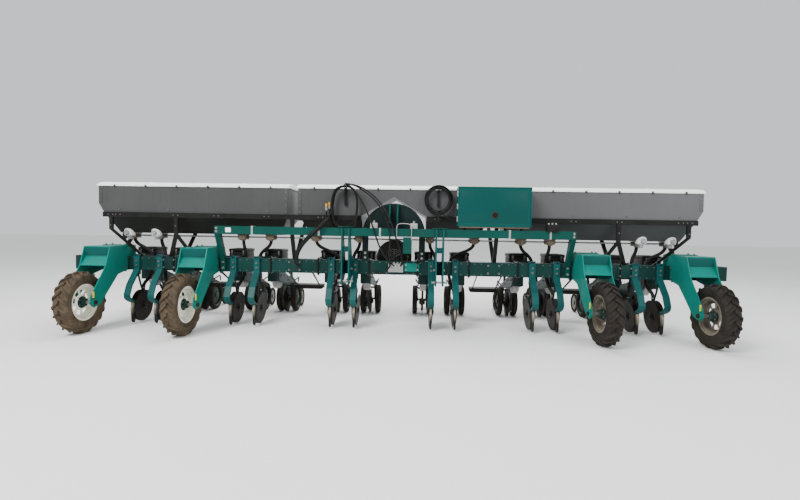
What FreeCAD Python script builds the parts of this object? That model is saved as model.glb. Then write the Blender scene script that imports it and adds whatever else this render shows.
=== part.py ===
"""Twelve-row no-till corn planter, front-hitched, as a parametric FreeCAD document.

Every node stands in one frame: +X to the planter's left-hand end seen from behind, +Y rearwards, +Z up.
Pieces are drawn with the toolbar's front face at Y = 0 and the ground at Z = 0, and each node is then moved
back by toolbar_y, which puts the middle of the whole machine over the origin.
"""
import FreeCAD, Part
import math
import os
import re
import Sketcher

SIZES = {
    # toolbar and rows
    "toolbar_length": 8500, "toolbar_side": 180, "toolbar_wall": 8, "toolbar_bottom": 710, "end_cap_wall": 6,
    "pair_pitch": 1300, "opener_offset": 155, "seed_row_offset": 250,
    # ground wheels
    "outer_wheel_x": 3714, "inner_wheel_x": 2474, "wheel_forward": 647, "tyre_diameter": 735,
    "tyre_width": 180, "rim_diameter": 406, "tyre_wall": 16, "rim_width": 130, "rim_flange": 22,
    "rim_wall": 5, "hub_diameter": 90, "hub_width": 150, "axle_diameter": 40, "running_gap": 0.05,
    "yoke_width": 340, "yoke_plate": 12, "yoke_top": 1030, "yoke_front": 350,
    # front hitch
    "beam_side": 100, "beam_length": 4530, "beam_bottom": 1210, "beam_forward": 250, "leg_width": 60,
    "link_centre": 590, "link_gap": 70, "link_plate": 18, "link_pin_diameter": 28, "link_pin_length": 175,
    "link_pin_z": 645, "link_pin_forward": 245, "arch_radius": 410, "arch_band": 80, "arch_plate": 20,
    "top_link_gap": 80, "top_link_plate": 20, "top_link_bore": 25.4, "top_link_z": 1440, "top_link_forward": 95,
    # hopper
    "hopper_half": 3910, "hopper_front": 34, "hopper_depth": 700, "hopper_top": 1815, "rail_top": 1470,
    "rail_height": 60, "rail_thick": 26, "trough_bottom": 1200, "trough_width": 240, "sheet": 3,
    "centre_tank_half": 1253, "tank_gap": 130, "end_slope": 150, "end_chamfer": 70, "end_chamfer_rise": 120,
    "gable_top": 1720, "gable_half": 420,
    "lid_lip": 16, "lid_crest": 65, "lid_overhang": 12, "lid_wall": 4, "lid_crest_back": 160,
    "lid_hinge_diameter": 16, "hinge_length": 120, "hinge_spacing": 900,
    # hopper stands
    "stand_side": 50, "outer_stand_top": 3730, "outer_stand_foot": 3380, "inner_stand_x": 2860,
    "inner_stand_foot": 2840, "stand_spread": 155, "stand_knee_z": 1190, "centre_stand_x": 1320,
    "outer_knee_z": 1250, "stand_foot_back": 62,
    # fertiliser metering
    "meter_width": 110, "meter_depth": 120, "meter_height": 70, "shaft_diameter": 22, "shaft_z": 1165,
    "shaft_half": 3800, "fertiliser_hose": 46,
    # fertiliser openers
    "disc_diameter": 420, "disc_thick": 5, "disc_cant": 8, "disc_back": 95, "disc_lift": 12,
    "shank_width": 78, "shank_thick": 18, "clamp_width": 80, "clamp_thick": 16, "clamp_bolt": 20,
    "boot_width": 26, "spout_top": 446,
    # row units
    "head_width": 260, "head_depth": 320, "head_height": 330, "head_back": 360, "head_bottom": 670,
    "link_pivot_z": 850, "link_drop": 140, "link_bar": 40, "link_bar_thick": 10, "pivot_pin": 20,
    "gauge_diameter": 440, "gauge_width": 75, "gauge_back": 1200, "gauge_gap": 150, "gauge_axle": 30,
    "box_wall": 4, "seed_disc_diameter": 380, "seed_disc_back": 1110, "seed_disc_lift": 4, "closing_diameter": 300, "closing_back": 1650,
    "closing_width": 30, "unit_plate": 10, "unit_frame_gap": 60,
    # control box, fan and steps
    "box_left": 800, "box_right": 1700, "box_bottom": 1350, "box_top": 1840, "box_depth": 200,
    "box_standoff": 45, "knob_x": 1255, "knob_z": 1495, "knob_diameter": 60, "knob_length": 30,
    "door_thick": 12, "fan_radius": 225, "fan_depth": 180, "fan_z": 925, "step_length": 400, "step_z": 440,
    "step_back": 780, "step_depth": 240, "step_board": 16, "strap_thick": 8,
    # stored hoses and cable
    "hook_z": 1812, "hook_rod": 14, "hook_back": 60, "hook_reach": 96, "hose_loop_x": -625, "hose_loop_half": 160,
    "hose_loop_rise": 95, "hose_bundle": 50, "cable_coil_x": 570, "cable_coil_half": 160, "cable_bundle": 64,
    "cable_diameter": 14, "coupling_diameter": 34, "coupling_length": 90,
}
S = type("Sizes", (), SIZES)
TOOLBAR_TOP = S.toolbar_bottom + S.toolbar_side
REAR_REACH = S.closing_back + S.closing_diameter / 2
FRONT_REACH = S.wheel_forward + S.tyre_diameter / 2
TOOLBAR_Y = (FRONT_REACH - REAR_REACH) / 2
PAIRS = [(index - 2.5) * S.pair_pitch for index in range(6)]
OPENERS = [x + side * S.opener_offset for x in PAIRS for side in (-1, 1)]
SEED_ROWS = [x + side * S.seed_row_offset for x in PAIRS for side in (-1, 1)]
WHEELS = {
    "left_outer": "-outer_wheel_x", "left_inner": "-inner_wheel_x",
    "right_inner": "inner_wheel_x", "right_outer": "outer_wheel_x",
}

doc = FreeCAD.newDocument("corn_planter")
sheet = doc.addObject("Spreadsheet::Sheet", "sizes")
for row, (alias, size) in enumerate(list(SIZES.items()) + [("toolbar_y", TOOLBAR_Y)], start=1):
    sheet.set(f"A{row}", alias)
    sheet.set(f"B{row}", str(size))
    sheet.setAlias(f"B{row}", alias)
doc.recompute()
WORD = re.compile(r"\b(" + "|".join(list(SIZES) + ["toolbar_y"]) + r")\b")
NODES = []


def expression(text):
    """A size written with the sheet's words, as an expression that reads those cells."""
    return WORD.sub(r"sizes.\1", str(text))


def bind(thing, **sizes):
    """Bind each property to the sheet."""
    for name, text in sizes.items():
        thing.setExpression(name, expression(text))


def place(thing, at=("0", "0", "0"), turn=None):
    """Put a piece at a place bound to the sheet, turned by a fixed rotation."""
    if turn is not None:
        thing.Placement = FreeCAD.Placement(FreeCAD.Vector(), turn)
    for letter, text in zip("xyz", at):
        thing.setExpression(f"Placement.Base.{letter}", expression(text))
    return thing


def rotation(x, y, z, degrees):
    return FreeCAD.Rotation(FreeCAD.Vector(x, y, z), degrees)


def box(size, at):
    """A block of the given size with its lowest corner at a place."""
    thing = doc.addObject("Part::Box", "block")
    bind(thing, Length=size[0], Width=size[1], Height=size[2])
    return place(thing, at)


TURNS = {"X": rotation(0, 1, 0, 90), "Y": rotation(1, 0, 0, -90), "Z": None}


def rod(radius, length, at, along="Z", turn=None):
    """A round bar that starts at a place and runs along an axis, or along Z turned."""
    thing = doc.addObject("Part::Cylinder", "bar")
    bind(thing, Radius=radius, Height=length)
    return place(thing, at, turn if turn is not None else TURNS[along])


def cut(base, *tools):
    """The base with each tool taken away."""
    for tool in tools:
        result = doc.addObject("Part::Cut", "cut")
        result.Base = base
        result.Tool = tool
        base = result
    return base


def fuse(*pieces):
    """Welded pieces, as one solid."""
    result = doc.addObject("Part::MultiFuse", "weldment")
    result.Shapes = list(pieces)
    result.Refine = True
    return result


def group(pieces, at=("0", "0", "0")):
    """Separate solids kept together, which can be placed as a set."""
    result = doc.addObject("Part::Compound", "group")
    result.Links = list(pieces)
    return place(result, at)


def node(name, pieces, at=("0", "0", "0")):
    """A named node: its pieces, moved back from the toolbar's front face to the machine's own frame."""
    result = group(pieces, (at[0], f"{at[1]} + toolbar_y", at[2]))
    result.Label = name
    NODES.append(result)
    return result


def sketch_on(body, role):
    """A sketch on one of the body's own origin planes."""
    plane = next(part for part in body.Origin.OriginFeatures if part.Role == role)
    drawing = body.newObject("Sketcher::SketchObject", "outline")
    drawing.AttachmentSupport = [(plane, "")]
    drawing.MapMode = "FlatFace"
    return drawing


def outline(drawing, points):
    """A closed outline whose corners are held by dimensions that read the sheet."""
    count = len(points)
    for index in range(count):
        here = FreeCAD.Vector(index, index * index % 7, 0)
        there = FreeCAD.Vector(index + 1, (index + 1) * (index + 1) % 7, 0)
        drawing.addGeometry(Part.LineSegment(here, there), False)
    for index in range(count):
        drawing.addConstraint(Sketcher.Constraint("Coincident", index, 2, (index + 1) % count, 1))
    for index, corner in enumerate(points):
        for kind, text in zip(("DistanceX", "DistanceY"), corner):
            number = drawing.addConstraint(Sketcher.Constraint(kind, -1, 1, index, 1, 1.0 + index))
            drawing.setExpression(f"Constraints[{number}]", expression(text))


def hollow_box(size, at):
    """A closed box of sheet with an empty inside."""
    inner = [f"{length} - 2 * box_wall" for length in size]
    corner = [f"{place} + box_wall" for place in at]
    return cut(box(size, at), box(inner, corner))


def plate(points, thick, at=("0", "0", "0"), role="YZ_Plane"):
    """A flat piece: an outline of (Y, Z) corners, padded along X by its thickness."""
    body = doc.addObject("PartDesign::Body", "plate")
    drawing = sketch_on(body, role)
    outline(drawing, points)
    pad = body.newObject("PartDesign::Pad", "pad")
    pad.Profile = drawing
    pad.setExpression("Length", expression(thick))
    return place(body, at)


def turned(points, at=("0", "0", "0"), turn=None):
    """A turned piece: an outline of (along the axis, radius) corners, revolved about its X axis."""
    body = doc.addObject("PartDesign::Body", "turning")
    drawing = sketch_on(body, "XY_Plane")
    outline(drawing, points)
    turning = body.newObject("PartDesign::Revolution", "revolution")
    turning.Profile = drawing
    turning.ReferenceAxis = (drawing, ["H_Axis"])
    turning.Angle = 360
    return place(body, at, turn)


def strut(foot, top, side_x, side_y):
    """A straight leg between two levels, leaning in X and Y, with level ends."""
    def ring(point):
        x, y, z = point
        corners = [(x, y, z), (x + side_x, y, z), (x + side_x, y + side_y, z), (x, y + side_y, z), (x, y, z)]
        return Part.makePolygon([FreeCAD.Vector(*corner) for corner in corners])
    thing = doc.addObject("Part::Feature", "strut")
    thing.Shape = Part.makeLoft([ring(foot), ring(top)], True, True)
    return thing


def tube_along(points, diameter, share=0.45):
    """A hose along straight runs joined by tangent arcs, each as large as its two runs allow."""
    route = [FreeCAD.Vector(*point) for point in points]
    edges = []
    radii = []
    start = route[0]
    for before, corner, after in zip(route, route[1:], route[2:]):
        into = (corner - before).normalize()
        out = (after - corner).normalize()
        turn = into.getAngle(out)
        reach = share * min((corner - before).Length, (after - corner).Length)
        radii.append(reach / math.tan(turn / 2))
        first = corner - into * reach
        last = corner + out * reach
        inner = (out - into).normalize()
        middle = corner + inner * (reach / math.sin(turn / 2) - reach / math.tan(turn / 2)) * math.cos(0)
        middle = corner + inner * (radii[-1] / math.cos(turn / 2) - radii[-1])
        edges.append(Part.LineSegment(start, first).toShape())
        edges.append(Part.Arc(first, middle, last).toShape())
        start = last
    edges.append(Part.LineSegment(start, route[-1]).toShape())
    path = Part.Wire(edges)
    section = Part.Wire(Part.makeCircle(diameter / 2, route[0], route[1] - route[0]))
    thing = doc.addObject("Part::Feature", "hose")
    thing.Shape = path.makePipeShell([section], True, False)
    expected = math.pi * (diameter / 2) ** 2 * path.Length
    if abs(thing.Shape.Volume / expected - 1) > 0.01:
        raise ValueError("a hose's volume differs from its section times its length")
    return thing, radii


def copies(piece, places):
    """The same piece at several X places, as separate solids."""
    return [group([piece], (str(x), "0", "0")) for x in places]


# --- toolbar -------------------------------------------------------------------------------------------
def make_toolbar():
    outer = box(("toolbar_length", "toolbar_side", "toolbar_side"), ("-toolbar_length / 2", "0", "toolbar_bottom"))
    bore = "toolbar_side - 2 * toolbar_wall"
    inner = box(("toolbar_length", bore, bore),
                ("-toolbar_length / 2", "toolbar_wall", "toolbar_bottom + toolbar_wall"))
    caps = [box(("end_cap_wall", "toolbar_side", "toolbar_side"), (x, "0", "toolbar_bottom"))
            for x in ("-toolbar_length / 2 - end_cap_wall", "toolbar_length / 2")]
    node("toolbar", [cut(outer, inner), *caps])


# --- front hitch ---------------------------------------------------------------------------------------
def make_hitch():
    beam = box(("beam_length", "beam_side", "beam_side"), ("-beam_length / 2", "-beam_forward", "beam_bottom"))
    bore = "beam_side - 2 * toolbar_wall"
    inner = box(("beam_length - 2 * toolbar_wall", bore, bore),
                ("toolbar_wall - beam_length / 2", "toolbar_wall - beam_forward", "beam_bottom + toolbar_wall"))
    node("front_hitch_beam", [cut(beam, inner)])
    leg = [("-beam_forward", "beam_bottom"), ("beam_side - beam_forward", "beam_bottom"),
           ("0", "toolbar_bottom + toolbar_side"), ("0", "toolbar_bottom"), ("-beam_side / 2", "toolbar_bottom"),
           ("-beam_side / 2", "toolbar_bottom + toolbar_side - beam_side / 2")]
    ends = ["-beam_length / 2", "beam_length / 2 - leg_width"]
    node("hitch_beam_legs", [plate(leg, "leg_width", (x, "0", "0")) for x in ends])
    cheek = [("-beam_forward - link_plate * 2", "beam_bottom + beam_side"), ("-beam_forward", "beam_bottom + beam_side"),
             ("-beam_forward", "beam_bottom"), ("beam_side - beam_forward", "beam_bottom"),
             ("0", "toolbar_bottom + toolbar_side"), ("0", "toolbar_bottom"),
             ("-link_pin_forward * 0.7", "link_pin_z - 45"), ("-link_pin_forward - 45", "link_pin_z - 45")]
    cheeks = []
    cross = []
    pins = []
    for sign in ("-", ""):
        centre = f"{sign}link_centre"
        for inner_face in ("- link_gap / 2 - link_plate", "+ link_gap / 2"):
            flat = plate(cheek, "link_plate", (f"{centre} {inner_face}", "0", "0"))
            hole = rod("link_pin_diameter / 2", "link_plate * 3",
                       (f"{centre} {inner_face} - link_plate", "-link_pin_forward", "link_pin_z"), "X")
            cheeks.append(cut(flat, hole))
        cross.append(box(("link_gap", "link_plate", "link_gap"),
                         (f"{centre} - link_gap / 2", "-beam_forward", "beam_bottom - 200")))
        pins.append(rod("link_pin_diameter / 2", "link_pin_length",
                        (f"{centre} - link_pin_length / 2", "-link_pin_forward", "link_pin_z"), "X"))
    node("lower_link_plates", cheeks + cross)
    node("lower_link_pins", pins)
    make_headstock()


def make_headstock():
    disc = rod("arch_radius", "arch_plate", ("0", "0", "beam_bottom + link_plate"), "Y")
    below = box(("arch_radius * 2", "arch_plate * 3", "arch_radius"),
                ("-arch_radius", "-arch_plate", "beam_bottom + link_plate - arch_radius"))
    half = cut(disc, below)
    posts = [box(("arch_band", "arch_plate", "beam_bottom + link_plate - toolbar_bottom - toolbar_side"),
                 (x, "0", "toolbar_bottom + toolbar_side")) for x in ("-arch_radius", "arch_radius - arch_band")]
    stays = [box(("arch_band", "beam_forward - beam_side", "link_plate"),
                 (x, "beam_side - beam_forward", "beam_bottom")) for x in ("-arch_radius", "arch_radius - arch_band")]
    node("headstock_arch", [fuse(half, *posts), *stays])
    cheek = [("0", "top_link_z - 60"), ("0", "beam_bottom + link_plate + arch_radius - 10"),
             ("-top_link_forward / 2", "beam_bottom + link_plate + arch_radius - 10"),
             ("-top_link_forward - 40", "top_link_z + 50"), ("-top_link_forward - 40", "top_link_z - 60")]
    cheeks = []
    for x in ("-top_link_gap / 2 - top_link_plate", "top_link_gap / 2"):
        flat = plate(cheek, "top_link_plate", (x, "0", "0"))
        bore = rod("top_link_bore / 2", "top_link_plate * 3",
                   (f"{x} - top_link_plate", "-top_link_forward", "top_link_z"), "X")
        cheeks.append(cut(flat, bore))
    node("top_link_bracket", cheeks)


# --- ground wheels -------------------------------------------------------------------------------------
def make_wheels():
    side = [("-yoke_front", "yoke_top"), ("toolbar_side", "yoke_top"),
            ("toolbar_side", "toolbar_bottom + toolbar_side"), ("0", "toolbar_bottom + toolbar_side"),
            ("0", "toolbar_bottom"), ("-200", "toolbar_bottom - 45"),
            ("-wheel_forward + 120", "tyre_diameter / 2 - 30"), ("-wheel_forward", "tyre_diameter / 2 - 65"),
            ("-wheel_forward - 68", "tyre_diameter / 2 - 10"), ("-wheel_forward - 50", "tyre_diameter / 2 + 80"),
            ("-yoke_front - 85", "toolbar_bottom + 80")]
    hood = [("-yoke_front", "yoke_top"), ("toolbar_side", "yoke_top"), ("toolbar_side", "yoke_top - yoke_plate"),
            ("yoke_plate - yoke_front", "yoke_top - yoke_plate"),
            ("yoke_plate - yoke_front", "toolbar_bottom + toolbar_side"),
            ("-yoke_front - 73", "toolbar_bottom + 80"), ("-yoke_front - 85", "toolbar_bottom + 80"),
            ("-yoke_front", "toolbar_bottom + toolbar_side")]
    yokes = []
    for name, x in WHEELS.items():
        cheeks = [plate(side, "yoke_plate", (f"{x} + {offset}", "0", "0"))
                  for offset in ("yoke_width / 2 - yoke_plate", "(-yoke_width / 2)")]
        cover = plate(hood, "yoke_width - 2 * yoke_plate", (f"{x} - yoke_width / 2 + yoke_plate", "0", "0"))
        centre = ("-wheel_forward", "tyre_diameter / 2")
        hole = rod("axle_diameter / 2", "yoke_width * 2", (f"{x} - yoke_width", *centre), "X")
        yokes.append(cut(fuse(*cheeks, cover), hole))
        tyre = turned([("-tyre_width / 2 + 22", "tyre_diameter / 2"), ("tyre_width / 2 - 22", "tyre_diameter / 2"),
                       ("tyre_width / 2", "tyre_diameter / 2 - 45"), ("tyre_width / 2", "rim_diameter / 2 + 60"),
                       ("rim_width / 2", "rim_diameter / 2 + rim_flange"),
                       ("rim_width / 2 - rim_wall", "rim_diameter / 2 + rim_flange"),
                       ("rim_width / 2 - rim_wall", "rim_diameter / 2"),
                       ("rim_width / 2 - rim_wall - 16", "rim_diameter / 2"),
                       ("tyre_width / 2 - tyre_wall", "rim_diameter / 2 + 65"),
                       ("tyre_width / 2 - 30", "tyre_diameter / 2 - 45"),
                       ("-tyre_width / 2 + 30", "tyre_diameter / 2 - 45"),
                       ("-tyre_width / 2 + tyre_wall", "rim_diameter / 2 + 65"),
                       ("-rim_width / 2 + rim_wall + 16", "rim_diameter / 2"),
                       ("-rim_width / 2 + rim_wall", "rim_diameter / 2"),
                       ("-rim_width / 2 + rim_wall", "rim_diameter / 2 + rim_flange"),
                       ("-rim_width / 2", "rim_diameter / 2 + rim_flange"),
                       ("-tyre_width / 2", "rim_diameter / 2 + 60"), ("-tyre_width / 2", "tyre_diameter / 2 - 45")],
                      (x, *centre))
        node(f"tyre_{name}", [tyre])
        rim = turned([("-rim_width / 2", "rim_diameter / 2 + rim_flange"),
                      ("-rim_width / 2 + rim_wall", "rim_diameter / 2 + rim_flange"),
                      ("-rim_width / 2 + rim_wall", "rim_diameter / 2"), ("rim_width / 2 - rim_wall", "rim_diameter / 2"),
                      ("rim_width / 2 - rim_wall", "rim_diameter / 2 + rim_flange"),
                      ("rim_width / 2", "rim_diameter / 2 + rim_flange"), ("rim_width / 2", "rim_diameter / 2 - rim_wall"),
                      ("8", "rim_diameter / 2 - rim_wall - 6"), ("8", "hub_diameter / 2"),
                      ("hub_width / 2", "hub_diameter / 2"), ("hub_width / 2", "axle_diameter / 2 + running_gap"),
                      ("-hub_width / 2", "axle_diameter / 2 + running_gap"), ("-hub_width / 2", "hub_diameter / 2"),
                      ("0", "hub_diameter / 2"), ("0", "rim_diameter / 2 - rim_wall - 6"),
                      ("-rim_width / 2", "rim_diameter / 2 - rim_wall")], (x, *centre))
        node(f"rim_{name}", [rim])
    axles = [rod("axle_diameter / 2", "yoke_width + 60", (f"{x} - yoke_width / 2 - 30", "-wheel_forward",
                                                          "tyre_diameter / 2"), "X") for x in WHEELS.values()]
    node("wheel_yokes", yokes)
    node("wheel_axles", axles)


# --- hopper --------------------------------------------------------------------------------------------
def trough(left, right, chamfer_left, chamfer_right, inset):
    """A tank's solid form: a panel part over a funnel; inset shrinks it all round."""
    low = f"({left}) + {inset}"
    high = f"({right}) - {inset}"
    points = [(f"{low} + {chamfer_left}", "rail_top"), (f"{high} - {chamfer_right}", "rail_top"),
              (high, "rail_top + end_chamfer_rise"), (high, f"hopper_top + {inset}"),
              (low, f"hopper_top + {inset}"), (low, "rail_top + end_chamfer_rise")]
    top = plate(points, f"hopper_depth - 2 * {inset}",
                ("0", f"hopper_depth - hopper_front - {inset}", "0"), "XZ_Plane")
    length = f"({right}) - ({left}) - {chamfer_left} - {chamfer_right} - 2 * {inset}"
    funnel = doc.addObject("Part::Wedge", "funnel")
    bind(funnel, Xmin="0", Ymin="0", Zmin="0", Xmax=length, Ymax="rail_top - trough_bottom",
         Zmax=f"hopper_depth - 2 * {inset}",
         X2min=f"end_slope - {chamfer_left}", X2max=f"{length} - end_slope + {chamfer_right}",
         Z2min="(hopper_depth - trough_width) / 2", Z2max=f"(hopper_depth + trough_width) / 2 - 2 * {inset}")
    # the wedge narrows along its own Y axis, which is turned to point down
    place(funnel, (f"{low} + {chamfer_left}", f"-hopper_front + {inset}", "rail_top"), rotation(1, 0, 0, -90))
    return top, funnel


def make_tanks():
    outer_from = "(centre_tank_half + tank_gap)"
    spans = {
        "left": ("-hopper_half", f"-{outer_from}", "end_chamfer", "0"),
        "centre": ("-centre_tank_half", "centre_tank_half", "0", "0"),
        "right": (outer_from, "hopper_half", "0", "end_chamfer"),
    }
    for name, (left, right, chamfer_left, chamfer_right) in spans.items():
        shell = []
        for inset in ("0", "sheet"):
            top, funnel = trough(left, right, chamfer_left, chamfer_right, inset)
            shell.append((top, funnel))
        outside = fuse(*shell[0])
        inside = fuse(*shell[1])
        cavity_floor = box((f"({right}) - ({left}) + 2", "hopper_depth + 2", "sheet"),
                           (f"({left}) - 1", "-hopper_front - 1", "trough_bottom"))
        inside = cut(inside, cavity_floor)
        if name == "centre":
            outside = cut(outside, gable("0"))
            inside = cut(inside, gable("sheet"))
        node(f"hopper_tank_{name}", [cut(outside, inside)])
        make_lid(name, left, right)


def gable(offset):
    """The roof-shaped notch under the middle of the centre tank."""
    points = [(f"-gable_half - {offset} * 2", "trough_bottom - 10"), (f"-gable_half - {offset} * 2", "rail_top"),
              ("0", f"gable_top + {offset} * 1.5"), (f"gable_half + {offset} * 2", "rail_top"),
              (f"gable_half + {offset} * 2", "trough_bottom - 10")]
    prism = plate(points, "hopper_depth + 20", role="XZ_Plane")
    return place(prism, ("0", "hopper_depth - hopper_front + 10", "0"))


def make_lid(name, left, right):
    """A domed cover with closed ends; it sits on the tank's rim with its skirt outside the walls."""
    front = "-hopper_front - lid_overhang"
    rear = "hopper_depth - hopper_front + lid_overhang"
    seat = "hopper_top"
    def arch_of(inset):
        return [(f"{front} + {inset}", f"{seat} - ({inset} > 0 ? 1 : 0) * 1"),
                (f"{front} + {inset}", f"{seat} + lid_lip - {inset}"),
                (f"{front} + lid_crest_back / 3", f"{seat} + lid_crest * 0.72 - {inset}"),
                (f"{front} + lid_crest_back", f"{seat} + lid_crest - {inset}"),
                (f"{rear} - lid_crest_back", f"{seat} + lid_crest - {inset}"),
                (f"{rear} - lid_crest_back / 3", f"{seat} + lid_crest * 0.72 - {inset}"),
                (f"{rear} - {inset}", f"{seat} + lid_lip - {inset}"),
                (f"{rear} - {inset}", f"{seat} - ({inset} > 0 ? 1 : 0) * 1")]
    skin = plate(arch_of("0"), f"({right}) - ({left}) + 2 * lid_overhang", (f"({left}) - lid_overhang", "0", "0"))
    hollow = plate(arch_of("lid_wall * 4"), f"({right}) - ({left}) - 8 * lid_wall", (f"({left}) + 4 * lid_wall", "0", "0"))
    node(f"hopper_lid_{name}", [cut(skin, hollow)])


def make_lid_hinges():
    """Barrels on the back of each tank, just under its lid's rear edge."""
    centres = [f"{sign}(hopper_half + centre_tank_half + tank_gap) / 2" for sign in ("-", "")] + ["0"]
    barrels = [rod("lid_hinge_diameter / 2", "hinge_length",
                   (f"{centre} + {step} * hinge_spacing - hinge_length / 2",
                    "hopper_depth - hopper_front + lid_hinge_diameter / 2", "hopper_top - lid_hinge_diameter / 2 - 1"), "X")
               for centre in centres for step in (-1, 0, 1)]
    node("lid_hinges", barrels)


def make_hopper_frame():
    rails = [box(("hopper_half - end_chamfer - gable_half", "rail_thick", "rail_height"),
                 (x, y, "rail_top - rail_height"))
             for x in ("-hopper_half + end_chamfer", "gable_half")
             for y in ("-hopper_front - rail_thick", "hopper_depth - hopper_front")]
    node("hopper_rails", rails)
    legs = []
    rail_bottom = S.rail_top - S.rail_height
    front_y = -S.hopper_front - S.rail_thick
    rear_y = S.hopper_depth - S.hopper_front
    stands = [
        (S.outer_stand_top, S.outer_stand_top, S.outer_knee_z, [S.outer_stand_foot]),
        (S.inner_stand_x, S.inner_stand_foot, S.stand_knee_z,
         [S.inner_stand_foot - S.stand_spread, S.inner_stand_foot + S.stand_spread]),
        (S.centre_stand_x, S.centre_stand_x, S.stand_knee_z, [S.centre_stand_x]),
    ]
    for top_x, rear_x, knee_z, front_feet in stands:
        for sign in (-1, 1):
            top = sign * top_x - S.stand_side / 2
            rear = sign * rear_x - S.stand_side / 2
            knee = (top, front_y, knee_z)
            post = strut(knee, (top, front_y, rail_bottom), S.stand_side, S.rail_thick)
            leans = [strut((sign * foot - S.stand_side / 2, S.stand_foot_back, TOOLBAR_TOP), knee, S.stand_side, S.rail_thick)
                     for foot in front_feet]
            legs.append(fuse(post, *leans))
            legs.append(strut((rear, S.toolbar_side - S.stand_side, TOOLBAR_TOP), (top, rear_y, rail_bottom),
                              S.stand_side, S.rail_thick))
    node("hopper_stands", legs)


# --- fertiliser metering -------------------------------------------------------------------------------
METERS = (480, 1080, 1710, 2100, 3260, 3640)


def make_metering():
    centre_y = S.hopper_depth / 2 - S.hopper_front
    meters = []
    for x in [sign * x for x in METERS for sign in (-1, 1)]:
        case = box(("meter_width", "meter_depth", "meter_height"),
                   (f"{x} - meter_width / 2", f"{centre_y} - meter_depth / 2", "trough_bottom - meter_height"))
        bore = rod("shaft_diameter / 2 + running_gap", "meter_width * 2",
                   (f"{x} - meter_width", str(centre_y), "shaft_z"), "X")
        meters.append(cut(case, bore))
    node("fertiliser_meters", meters)
    node("meter_drive_shaft", [rod("shaft_diameter / 2", "shaft_half * 2",
                                   ("-shaft_half", str(centre_y), "shaft_z"), "X")])


def make_fertiliser_hoses():
    """One hose from each meter, down behind the toolbar between two row units, to its opener's spout."""
    centre_y = S.hopper_depth / 2 - S.hopper_front
    meter_bottom = S.trough_bottom - S.meter_height
    back = S.toolbar_side + S.fertiliser_hose
    hoses = []
    meters = sorted(sign * x for x in METERS for sign in (-1, 1))
    for index, (meter, opener) in enumerate(zip(meters, OPENERS)):
        lane = PAIRS[index // 2] + (85 if index % 2 else -85)
        spout_y = S.disc_back + 22
        route = [(meter, centre_y, meter_bottom), (meter, centre_y, meter_bottom - 70),
                 (meter + 0.82 * (lane - meter), centre_y - 40, meter_bottom - 170), (lane, back + 14, meter_bottom - 290),
                 (lane + 0.1 * (opener - lane), back - 2, S.toolbar_bottom - 20),
                 (lane + 0.45 * (opener - lane), back - 36, S.toolbar_bottom - 130),
                 (opener, spout_y, S.spout_top + 62), (opener, spout_y, S.spout_top)]
        hose, radii = tube_along(route, S.fertiliser_hose)
        hoses.append(hose)
    print("fertiliser hose radii", [round(radius) for radius in radii])
    node("fertiliser_hoses", hoses)


# --- fertiliser openers --------------------------------------------------------------------------------
def make_openers():
    shank = [("-clamp_thick - shank_thick", "toolbar_bottom + toolbar_side"),
             ("-clamp_thick", "toolbar_bottom + toolbar_side"), ("-clamp_thick", "toolbar_bottom - 10"),
             ("-175", "520"), ("-228", "400"), ("-222", "372"), ("-190", "350"), ("-125", "312"), ("-125", "290"),
             ("-200", "325"), ("-240", "358"), ("-250", "405"), ("-196", "532"),
             ("-clamp_thick - shank_thick", "toolbar_bottom + 15")]
    node("opener_shanks", copies(plate(shank, "shank_width", ("-shank_width / 2", "0", "0")), OPENERS))
    clamp = box(("clamp_width", "clamp_thick", "toolbar_side + 90"), ("-clamp_width / 2", "-clamp_thick", "toolbar_bottom - 60"))
    bolts = [rod("clamp_bolt / 2", "shank_thick", (f"{side} * (clamp_width / 2 - 9)", "-clamp_thick - shank_thick", level), "Y")
             for side in (-1, 1) for level in ("toolbar_bottom + toolbar_side + 14", "toolbar_bottom - 46")]
    node("opener_clamps", copies(group([clamp, *bolts]), OPENERS))
    radius = "disc_diameter / 2"
    centre = ("disc_back", f"{radius} + disc_lift")
    discs = []
    for sign in (-1, 1):
        disc = rod(radius, "disc_thick", (f"{sign * 24} + {min(sign, 0)} * disc_thick", *centre),
                   turn=rotation(0, 1, 0, 90 + sign * S.disc_cant / 2))
        discs.append(disc)
    node("opener_discs", copies(group(discs), OPENERS))
    hub = rod("24", "44", ("-22", *centre), "X")
    bridge = plate([("-125", "312"), ("-125", "288"), ("35", "225"), ("disc_back", "200"), ("disc_back + 20", "200"),
                    ("disc_back + 45", "240"), ("disc_back + 45", "spout_top"), ("disc_back", "spout_top"),
                    ("disc_back", "290"), ("35", "300")], "boot_width", ("-boot_width / 2", "0", "0"))
    node("opener_hubs", copies(fuse(hub, bridge), OPENERS))
    boot = [("-125", "288"), ("-150", "220"), ("-130", "45"), ("-100", "20"), ("-20", "150"), ("35", "225")]
    node("opener_boots", copies(plate(boot, "boot_width", ("-boot_width / 2", "0", "0")), OPENERS))


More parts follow.
